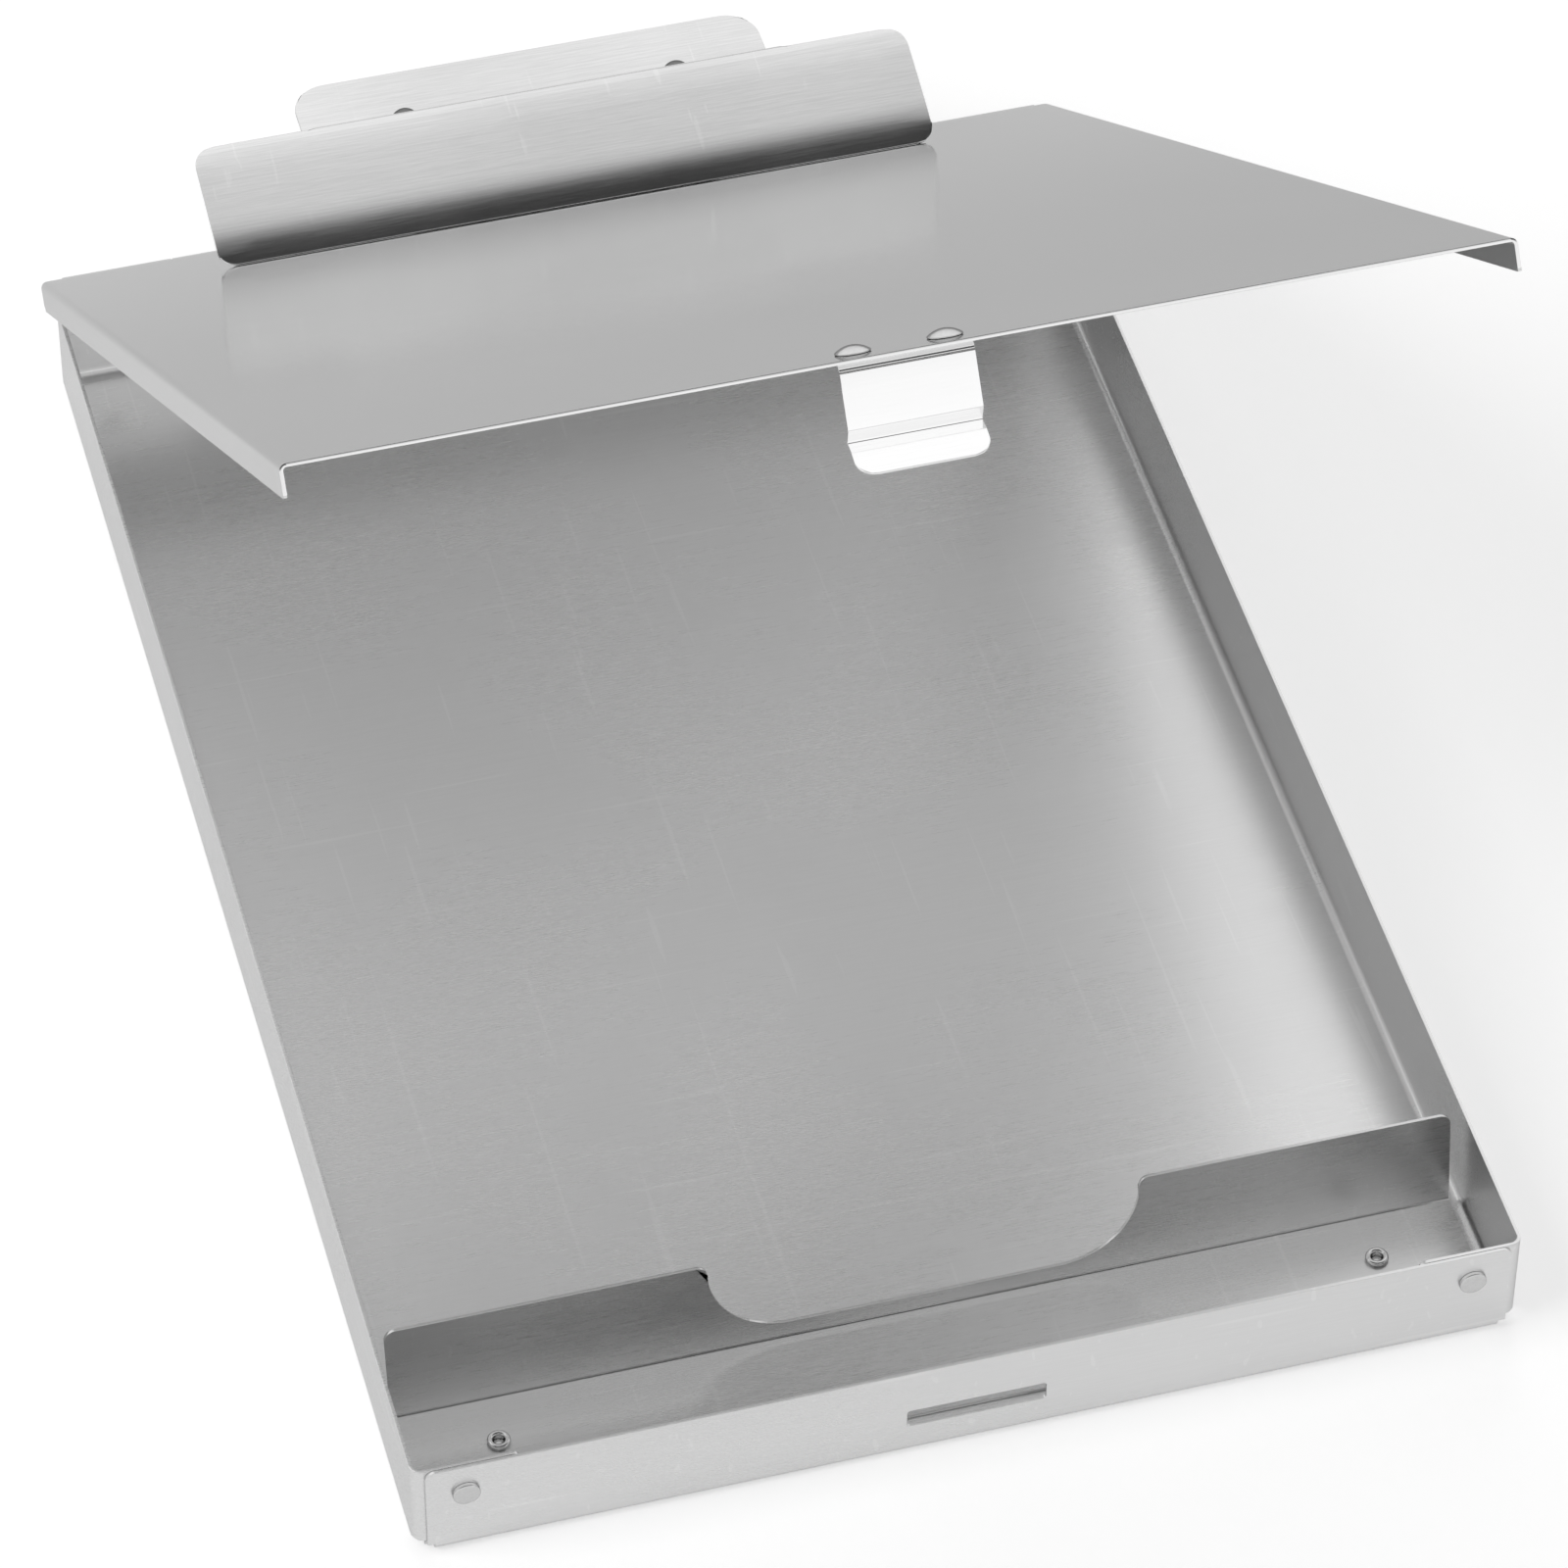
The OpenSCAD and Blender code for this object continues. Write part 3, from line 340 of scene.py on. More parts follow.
def rounded(corners: Sequence[Corner], per_turn: int = 28) -> list[Flat]:
    """Rounds the corners of a closed outline.

    Args:
        corners: u, v and corner radius of each corner, in order.
        per_turn: number of points that a full turn would get.

    Returns:
        The points of the outline.
    """
    loop: list[Flat] = []
    for i, (u, v, radius) in enumerate(corners):
        if radius <= 0:
            loop.append((u, v))
            continue
        here = Vector((u, v))
        back = (Vector(corners[i - 1][:2]) - here).normalized()
        ahead = (Vector(corners[(i + 1) % len(corners)][:2]) - here).normalized()
        half = back.angle(ahead) / 2
        centre = here + (back + ahead).normalized() * radius / math.sin(half)
        arm = here + back * radius / math.tan(half) - centre
        turn = math.pi - 2 * half
        way = 1.0 if back.cross(ahead) < 0 else -1.0
        count = max(3, round(per_turn * turn / (2 * math.pi)))
        for k in range(count + 1):
            c, s = math.cos(way * turn * k / count), math.sin(way * turn * k / count)
            loop.append((centre.x + arm.x * c - arm.y * s, centre.y + arm.x * s + arm.y * c))
    return loop


def round_hole(u: float, v: float, radius: float, count: int = 28) -> list[Flat]:
    """Gives the outline of a drilled hole."""
    return arc_points((u, v), radius, 0, 360 - 360 / count, count - 1)


def inside(point: Flat, loop: Sequence[Flat]) -> bool:
    """Tells whether a point lies within a closed loop.

    Args:
        point: the point.
        loop: the points of the loop.

    Returns:
        Whether the point is inside.
    """
    x, y = point
    hit = False
    for (x0, y0), (x1, y1) in zip(loop, [*loop[1:], loop[0]]):
        if (y0 > y) != (y1 > y) and x < (x1 - x0) * (y - y0) / (y1 - y0) + x0:
            hit = not hit
    return hit


@dataclass
class Blank:
    """A flat cut sheet: its outline, its holes and the lines along which it bends."""

    outline: list[Flat]
    holes: list[list[Flat]]
    u_lines: list[float]
    v_lines: list[float]
    grid: float

    def _cuts(self, axis: int) -> list[tuple[Vector, Vector]]:
        """Lays lines across the blank: its fold lines, and even ones clear of them.

        Args:
            axis: 0 for lines at places along u, 1 for lines at places along v.

        Returns:
            The two ends of each line, just outside the blank.
        """
        spans = [(min(p[k] for p in self.outline), max(p[k] for p in self.outline)) for k in (0, 1)]
        (low, high), (start, end) = spans[axis], spans[1 - axis]
        kept = (self.u_lines, self.v_lines)[axis]
        count = max(1, round((high - low) / self.grid))
        even = [low + (high - low) * i / count for i in range(1, count)]
        clear = [at for at in even if all(abs(at - line) > self.grid / 3 for line in kept)]
        ends = []
        for at in sorted([*kept, *clear]):
            pair = [(at, start - 1.0), (at, end + 1.0)]
            ends.append(tuple(Vector(p if axis == 0 else p[::-1]) for p in pair))
        return ends

    def cut(self) -> tuple[list[Flat], list[tuple[int, ...]]]:
        """Cuts the blank into faces that each lie between two fold lines.

        Returns:
            The flat vertices and the faces.
        """
        verts: list[Vector] = []
        edges: list[tuple[int, int]] = []
        for loop in (self.outline, *self.holes):
            base, n = len(verts), len(loop)
            verts += [Vector(p) for p in loop]
            edges += [(base + i, base + (i + 1) % n) for i in range(n)]
        for ends in (*self._cuts(0), *self._cuts(1)):
            edges.append((len(verts), len(verts) + 1))
            verts += ends
        points, _, faces, *_ = delaunay_2d_cdt(verts, edges, [], 0, 1e-4)
        kept = []
        for face in faces:
            mid = tuple(sum(points[i][k] for i in face) / len(face) for k in (0, 1))
            if inside(mid, self.outline) and not any(inside(mid, hole) for hole in self.holes):
                kept.append(tuple(face))
        return [(p[0], p[1]) for p in points], kept


# Mesh makers


def new_object(name: str, data: bpy.types.ID) -> bpy.types.Object:
    """Puts a mesh, curve, lamp or camera in the scene.

    Args:
        name: name of the object.
        data: what it shows.

    Returns:
        The object.
    """
    obj = bpy.data.objects.new(name, data)
    bpy.context.scene.collection.objects.link(obj)
    return obj


def as_object(name: str, bm: bmesh.types.BMesh) -> bpy.types.Object:
    """Writes a finished mesh into the scene.

    Args:
        name: name of the object and its mesh.
        bm: the mesh, which is freed.

    Returns:
        The object.
    """
    mesh = bpy.data.meshes.new(name)
    bm.to_mesh(mesh)
    bm.free()
    return new_object(name, mesh)


def settle(obj: bpy.types.Object) -> bpy.types.Object:
    """Applies the modifiers of a piece and sets its smooth and sharp edges.

    Args:
        obj: the piece.

    Returns:
        The piece.
    """
    bpy.context.view_layer.update()
    graph = bpy.context.evaluated_depsgraph_get()
    mesh = bpy.data.meshes.new_from_object(obj.evaluated_get(graph))
    obj.modifiers.clear()
    old, obj.data = obj.data, mesh
    bpy.data.meshes.remove(old)
    mesh.name = obj.name
    mesh.shade_smooth()
    mesh.set_sharp_from_angle(angle=math.radians(SMOOTH_ANGLE))
    weighted = obj.modifiers.new("even_normals", "WEIGHTED_NORMAL")
    weighted.mode = "FACE_AREA"
    weighted.weight = 60
    weighted.keep_sharp = True
    return obj


def soften(obj: bpy.types.Object, width: float) -> None:
    """Rounds the hard edges of a piece.

    Args:
        obj: the piece.
        width: width of the rounding in millimetres.
    """
    bevel = obj.modifiers.new("broken_edges", "BEVEL")
    bevel.width = width * MM
    bevel.segments = BEVEL_SEGMENTS
    bevel.limit_method = "ANGLE"
    bevel.angle_limit = math.radians(BEVEL_ANGLE)
    bevel.use_clamp_overlap = False
    bevel.miter_outer = "MITER_ARC"


def folded_sheet(
    name: str,
    blank: Blank,
    fold: Fold,
    thickness: float,
    centred: bool = False,
    edge: float = 0.12,
) -> bpy.types.Object:
    """Bends a blank and gives it its thickness.

    Args:
        name: name of the piece.
        blank: the flat cut sheet.
        fold: gives the bent place and the direction into the sheet for a flat point.
        thickness: sheet thickness.
        centred: whether the fold gives the middle of the sheet, and not one face.
        edge: width by which the sheared edges are broken.

    Returns:
        The piece. Its faces have material 0, its sheared edges material 1.
    """
    points, faces = blank.cut()
    used = sorted({i for face in faces for i in face})
    index = {old: new for new, old in enumerate(used)}
    near = -thickness / 2 if centred else 0.0
    bm = bmesh.new()
    outer, inner = [], []
    for i in used:
        place, into = fold(*points[i])
        outer.append(bm.verts.new((place + into * near) * MM))
        inner.append(bm.verts.new((place + into * (near + thickness)) * MM))
    border: dict[tuple[int, int], tuple[int, int]] = {}
    for face in faces:
        ids = [index[i] for i in face]
        bm.faces.new([outer[i] for i in reversed(ids)])
        bm.faces.new([inner[i] for i in ids])
        for a, b in zip(ids, [*ids[1:], ids[0]]):
            key = (min(a, b), max(a, b))
            if key in border:
                border.pop(key)
            else:
                border[key] = (a, b)
    for a, b in border.values():
        rim = bm.faces.new([outer[a], outer[b], inner[b], inner[a]])
        rim.material_index = 1
    bmesh.ops.recalc_face_normals(bm, faces=bm.faces[:])
    bmesh.ops.join_triangles(
        bm,
        faces=[f for f in bm.faces if f.material_index == 0],
        angle_face_threshold=math.radians(0.5),
        angle_shape_threshold=math.radians(180),
    )
    obj = as_object(name, bm)
    for _ in ("faces", "edges"):
        obj.data.materials.append(None)
    soften(obj, edge)
    return settle(obj)


def turned(
    name: str,
    profile: Sequence[Flat],
    places: Sequence[Matrix],
    sides: int = 48,
) -> bpy.types.Object:
    """Spins a profile about the local Z axis and repeats it at several places.

    Args:
        name: name of the piece.
        profile: radius and height of each point, starting and ending on the axis.
        places: where the turned pieces stand, in millimetres.
        sides: number of sides.

    Returns:
        The piece.
    """
    bm = bmesh.new()
    angles = [2 * math.pi * k / sides for k in range(sides)]
    for place in places:
        rings = []
        for radius, height in profile:
            spots = [Vector((radius * math.cos(a), radius * math.sin(a), height)) for a in angles]
            if radius < TINY:
                spots = [Vector((0, 0, height))]
            rings.append([bm.verts.new((place @ spot) * MM) for spot in spots])
        for low, high in zip(rings, rings[1:]):
            for k in range(sides):
                n = (k + 1) % sides
                quad = [low[k % len(low)], low[n % len(low)], high[n % len(high)], high[k % len(high)]]
                corners = list(dict.fromkeys(quad))
                if len(corners) > 2:
                    bm.faces.new(corners)
    bmesh.ops.recalc_face_normals(bm, faces=bm.faces[:])
    return settle(as_object(name, bm))


def dome_profile(diameter: float, rise: float, lip: float, count: int = 9) -> list[Flat]:
    """Gives the side profile of a domed head from its rolled rim up to its top.

    Args:
        diameter: outside diameter of the head.
        rise: height of the dome.
        lip: radius of the rolled rim.
        count: number of points on the dome.

    Returns:
        The points, from the underside of the rim to the axis.
    """
    half, rolled = diameter / 2, 20
    rim = arc_points((half - lip, lip), lip, -90, rolled, 4)
    base = half - lip + lip * math.cos(math.radians(rolled))
    low = lip + lip * math.sin(math.radians(rolled))
    ball = (base * base + (rise - low) ** 2) / (2 * (rise - low))
    spread = math.asin(min(1.0, base / ball))
    angles = [spread * (1 - i / count) for i in range(1, count)]
    dome = [(ball * math.sin(a), rise - ball + ball * math.cos(a)) for a in angles]
    return [*rim, *dome, (0.0, rise)]


def flat_profile(diameter: float, rise: float, lip: float) -> list[Flat]:
    """Gives the side profile of a flat head that is slightly dished.

    Args:
        diameter: outside diameter of the head.
        rise: height of its rim.
        lip: radius of the rim.

    Returns:
        The points, from the underside of the rim to the axis.
    """
    half, ease, foot, dish = diameter / 2, 0.06, 0.08, 0.06
    rim = arc_points((half - lip, rise - lip), lip, 0, 90, 4)
    return [(half - ease, 0.0), (half, foot), *rim, (half * 0.55, rise - dish / 2), (0.0, rise - dish)]


def placed(origin: Vector, up: Vector) -> Matrix:
    """Gives the matrix that stands a turned piece at a place with its axis along a direction."""
    return Matrix.Translation(origin) @ up.to_track_quat("Z", "Y").to_matrix().to_4x4()


def raised(profile: Sequence[Flat], height: float) -> list[Flat]:
    """Lifts a side profile by a height."""
    return [(radius, z + height) for radius, z in profile]


# Shader parts


class ShaderGraph:
    """A small helper that adds and links nodes in one tree."""

    def __init__(self, tree: bpy.types.NodeTree) -> None:
        """Keeps the tree."""
        self.tree = tree

    @classmethod
    def emptied(cls, owner: bpy.types.Material | bpy.types.World) -> "ShaderGraph":
        """Empties the nodes of a material or world.

        Args:
            owner: the material or world.

        Returns:
            The helper for its nodes.
        """
        owner.use_nodes = True
        owner.node_tree.nodes.clear()
        return cls(owner.node_tree)

    def feed(self, node: bpy.types.Node, feeds: dict[str | int, object]) -> bpy.types.Node:
        """Links sockets into a node and sets plain values on it.

        Args:
            node: the node.
            feeds: a socket or a value for each input, by its name or number.

        Returns:
            The node.
        """
        for key, value in feeds.items():
            if isinstance(value, bpy.types.NodeSocket):
                self.tree.links.new(value, node.inputs[key])
            else:
                node.inputs[key].default_value = value
        return node

    def add(
        self, kind: str, feeds: dict[str | int, object] | None = None, **values: object
    ) -> bpy.types.Node:
        """Adds a node.

        Args:
            kind: the node's type name without its ShaderNode prefix.
            feeds: a socket or a value for each input.
            **values: properties of the node.

        Returns:
            The node.
        """
        prefix = "" if kind.startswith("NodeGroup") else "ShaderNode"
        node = self.tree.nodes.new(prefix + kind)
        for name, value in values.items():
            setattr(node, name, value)
        return self.feed(node, feeds or {})

    def math(self, operation: str, a: object, b: object, clamp: bool = False) -> bpy.types.NodeSocket:
        """Adds a Math node on sockets or numbers."""
        return self.add("Math", {0: a, 1: b}, operation=operation, use_clamp=clamp).outputs[0]

    def ramp(
        self, value: bpy.types.NodeSocket, low: float, high: float, to: Flat = (0.0, 1.0)
    ) -> bpy.types.NodeSocket:
        """Maps a value smoothly from one range to another.

        Args:
            value: the value.
            low: start of the range, which may lie above its end.
            high: end of the range.
            to: what the start and the end become.

        Returns:
            The mapped value.
        """
        if low > high:
            low, high, to = high, low, (to[1], to[0])
        feeds = {"Value": value, "From Min": low, "From Max": high, "To Min": to[0], "To Max": to[1]}
        return self.add("MapRange", feeds, interpolation_type="SMOOTHSTEP").outputs["Result"]

    def noise(
        self, vector: bpy.types.NodeSocket, scale: object, detail: float, rough: float = 0.5
    ) -> bpy.types.NodeSocket:
        """Adds a noise texture on a vector."""
        feeds = {"Vector": vector, "Scale": scale, "Detail": detail, "Roughness": rough}
        return self.add("TexNoise", feeds, noise_dimensions="3D").outputs["Fac"]

    def blend(self, factor: bpy.types.NodeSocket, a: object, b: object) -> bpy.types.NodeSocket:
        """Mixes two colours."""
        return self.add("Mix", {"Factor": factor, "A": a, "B": b}, data_type="RGBA").outputs["Result"]

    def metal(self, feeds: dict[str, object], bump: dict[str, object]) -> None:
        """Ends a material with a bare metal surface.

        Args:
            feeds: what the surface takes.
            bump: what the bump under it takes.
        """
        normal = self.add("Bump", bump).outputs["Normal"]
        shader = self.add("BsdfPrincipled", {"Metallic": 1.0, "Normal": normal, **feeds})
        self.add("OutputMaterial", {"Surface": shader.outputs[0]})


def grey(level: float) -> tuple[float, float, float, float]:
    """Gives a neutral colour, no brighter than white."""
    return (*[min(1.0, level)] * 3, 1.0)


def new_group(
    name: str, inputs: dict[str, object], outputs: Sequence[str]
) -> tuple[ShaderGraph, bpy.types.NodeOutputs, bpy.types.Node]:
    """Makes an empty shader group with named sockets.

    Args:
        name: name of the group.
        inputs: default of each input, a number or a vector.
        outputs: name of each output value.

    Returns:
        The helper for its nodes, what is given to it, and the node that it puts out.
    """
    tree = bpy.data.node_groups.new(name, "ShaderNodeTree")
    for label, default in inputs.items():
        kind = "NodeSocketFloat" if isinstance(default, float) else "NodeSocketVector"
        socket = tree.interface.new_socket(label, in_out="INPUT", socket_type=kind)
        socket.default_value = default
    for label in outputs:
        tree.interface.new_socket(label, in_out="OUTPUT", socket_type="NodeSocketFloat")
    graph = ShaderGraph(tree)
    return graph, graph.add("NodeGroupInput").outputs, graph.add("NodeGroupOutput")


def brushed_grain_group() -> bpy.types.NodeTree:
    """Builds the group for brushed metal: fine streaks in two widths and slow clouding.

    Returns:
        The group.
    """
    inputs = {"Stretch": Grain.ACROSS.value, "Cloud Scale": 14.0}
    g, given, out = new_group("brushed_grain", inputs, ("Streaks", "Clouds", "Relief"))
    place = g.add("TexCoord").outputs["Object"]
    product = g.add("VectorMath", {0: place, 1: given["Stretch"]}, operation="MULTIPLY")
    stretched = product.outputs[0]
    fine = g.math("MULTIPLY", g.noise(stretched, 6.0, 3.0, 0.6), 0.62)
    broad = g.math("MULTIPLY", g.noise(stretched, 1.3, 2.0), 0.38)
    streaks = g.math("ADD", fine, broad)
    clouds = g.noise(place, given["Cloud Scale"], 3.0)
    spread = (0.3, 0.7)
    feeds = {"Streaks": g.ramp(streaks, *spread), "Clouds": g.ramp(clouds, *spread), "Relief": streaks}
    g.feed(out, feeds)
    return g.tree


def handling_marks_group() -> bpy.types.NodeTree:
    """Builds the group for the marks of use: hair scratches and faint smudges.

    Returns:
        The group.
    """
    g, given, out = new_group("handling_marks", {"Amount": 0.5}, ("Scratches", "Smudges"))
    place = g.add("TexCoord").outputs["Object"]
    ways = ((0.6, (4.0, 190.0, 90.0)), (-1.1, (150.0, 3.0, 70.0)), (2.2, (120.0, 5.0, 40.0)))
    hairs = None
    for turn, stretch in ways:
        feeds = {"Vector": place, "Rotation": (turn * 0.4, turn * 0.3, turn), "Scale": stretch}
        mapped = g.add("Mapping", feeds).outputs[0]
        hair = g.ramp(g.noise(mapped, 4.0, 1.0, 0.4), 0.71, 0.76)
        hairs = hair if hairs is None else g.math("MAXIMUM", hairs, hair)
    smudges = g.ramp(g.noise(place, 22.0, 5.0, 0.62), 0.48, 0.72)
    for label, marks in (("Scratches", hairs), ("Smudges", smudges)):
        g.feed(out, {label: g.math("MULTIPLY", marks, given["Amount"], clamp=True)})
    return g.tree


def shear_marks_group() -> bpy.types.NodeTree:
    """Builds the group for sheared edges: burnished and torn bands with small nicks.

    Returns:
        The group.
    """
    g, given, out = new_group("shear_marks", {"Nick Scale": 900.0}, ("Tear", "Nicks"))
    place = g.add("TexCoord").outputs["Object"]
    nicks = g.ramp(g.noise(place, given["Nick Scale"], 2.0), 0.56, 0.68)
    g.feed(out, {"Tear": g.noise(place, 1500.0, 3.0, 0.7), "Nicks": nicks})
    return g.tree


class EffectShelf:
    """The shader groups that the finishes share, each built once."""

    def __init__(self) -> None:
        """Builds the groups."""
        self.grain = brushed_grain_group()
        self.marks = handling_marks_group()
        self.shear = shear_marks_group()

    @staticmethod
    def place(
        graph: ShaderGraph, group: bpy.types.NodeTree, feeds: dict[str, object]
    ) -> bpy.types.NodeOutputs:
        """Puts a group in a material with its own values."""
        return graph.feed(graph.add("Group", node_tree=group), feeds).outputs


# Finishes


@dataclass(frozen=True)
class MetalFinish:
    """A bare metal finish: its tone, its brushing and how worn it is."""

    name: str
    tone: float
    rough: float = 0.28
    spread: float = 0.07
    grain: Grain = Grain.ACROSS
    relief: float = 0.35
    relief_depth: float = 0.000006
    shade: float = 0.08
    clouding: float = 0.05
    wear: float = 0.4
    edge_tone: float = 1.0
    scratch_tone: float = 1.25

    def material(self, shelf: EffectShelf) -> bpy.types.Material:
        """Builds the material.

        Args:
            shelf: the shared shader groups.

        Returns:
            The material.
        """
        mat = bpy.data.materials.new(self.name)
        g = ShaderGraph.emptied(mat)
        grain = shelf.place(g, shelf.grain, {"Stretch": self.grain.value})
        marks = shelf.place(g, shelf.marks, {"Amount": self.wear})
        streaks = g.math("MULTIPLY", grain["Streaks"], 0.6)
        tone = g.math("ADD", streaks, g.math("MULTIPLY", grain["Clouds"], 0.4))
        low, high = (grey(self.tone * (1.0 + way * self.shade)) for way in WAYS)
        scratched = g.math("MULTIPLY", marks["Scratches"], 0.5)
        colour = g.blend(scratched, g.blend(tone, low, high), grey(self.tone * self.scratch_tone))
        streaked = g.math("MULTIPLY", grain["Streaks"], self.spread)
        dull = g.math("MULTIPLY", marks["Smudges"], self.clouding)
        haze = g.math("MULTIPLY", grain["Clouds"], self.clouding)
        base = g.math("ADD", haze, self.rough - self.spread / 2)
        rough = g.math("ADD", g.math("ADD", streaked, dull), base)
        height = g.math("SUBTRACT", grain["Relief"], g.math("MULTIPLY", marks["Scratches"], 0.6))
        edge = grey(self.edge_tone)
        g.metal(
            {"Base Color": colour, "Roughness": rough, "Specular Tint": edge},
            {"Strength": self.relief, "Distance": self.relief_depth, "Height": height},
        )
        return mat


@dataclass(frozen=True)
class ShearedEdge:
    """The raw edge that the shear leaves on a sheet."""

    name: str
    tone: float = 0.86
    nick_tone: float = 0.35
    nick_scale: float = 700.0
    rough: float = 0.34
    tear_rough: float = 0.2
    relief: float = 0.5
    relief_depth: float = 0.00004

    def material(self, shelf: EffectShelf) -> bpy.types.Material:
        """Builds the material of the edge.

        Args:
            shelf: the shared shader groups.

        Returns:
            The material.
        """
        mat = bpy.data.materials.new(self.name)
        g = ShaderGraph.emptied(mat)
        shear = shelf.place(g, shelf.shear, {"Nick Scale": self.nick_scale})
        colour = g.blend(shear["Nicks"], grey(self.tone), grey(self.tone * self.nick_tone))
        torn = g.math("MULTIPLY", shear["Tear"], self.tear_rough)
        rough = g.math("ADD", torn, self.rough - self.tear_rough / 2)
        height = g.math("SUBTRACT", shear["Tear"], shear["Nicks"])
        g.metal(
            {"Base Color": colour, "Roughness": rough},
            {"Strength": self.relief, "Distance": self.relief_depth, "Height": height},
        )
        return mat


FINISHES = (
    MetalFinish("tray_sheet", 0.79, rough=0.27, relief=0.22, shade=0.035, edge_tone=0.82),
    MetalFinish("divider_sheet", 0.66, rough=0.26, relief=0.25, shade=0.05, edge_tone=0.85),
    MetalFinish("lid_sheet", 0.85, 0.08, 0.02, relief=0.1, shade=0.02, wear=0.2, edge_tone=0.71),
    MetalFinish("hinge_sheet", 0.7, rough=0.32, edge_tone=0.9),
    MetalFinish("clip_brushed", 0.74, 0.13, 0.04, relief=0.12, shade=0.12),
    MetalFinish("clip_inner", 0.5, rough=0.36, grain=Grain.ALONG),
    MetalFinish("latch_bright", 0.97, 0.07, 0.04, relief=0.12, shade=0.03, wear=0.2),
    MetalFinish("rivet_bright", 0.68, 0.12, 0.05, Grain.NONE, relief=0.2, wear=0.6, edge_tone=0.3),
    MetalFinish("rivet_dark", 0.2, rough=0.2, grain=Grain.NONE, relief=0.2, edge_tone=0.5),
    MetalFinish("spring_wire", 0.5, rough=0.22, grain=Grain.NONE),
    MetalFinish("pin_steel", 0.55, rough=0.3, grain=Grain.NONE),
    ShearedEdge("sheared_edge"),
)


class Finishes:
    """Every finish of the box, made into materials once."""

    def __init__(self) -> None:
        """Builds the shared groups and the materials."""
        shelf = EffectShelf()
        self.made = {kind.name: kind.material(shelf) for kind in FINISHES}

    def dress(self, obj: bpy.types.Object, *names: str) -> None:
        """Gives a piece its face finish, and its edge finish if it has one.

        Args:
            obj: the piece.
            *names: the finishes, one for each material of the piece.
        """
        obj.data.materials.clear()
        for name in names:
            obj.data.materials.append(self.made[name])


@dataclass
class Assembly:
    """What the sub-assemblies share: the finishes and the way a piece is mounted."""

    finishes: Finishes

    def mount(self, obj: bpy.types.Object, body: str, node: str, slot: str, *names: str) -> None:
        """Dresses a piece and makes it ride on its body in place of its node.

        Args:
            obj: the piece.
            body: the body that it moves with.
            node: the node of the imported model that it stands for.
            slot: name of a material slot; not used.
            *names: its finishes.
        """
        self.finishes.dress(obj, *names)
        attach(obj, body)
        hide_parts(node)
        LOG.info("%s rides on %s", obj.name, body)


# Tray


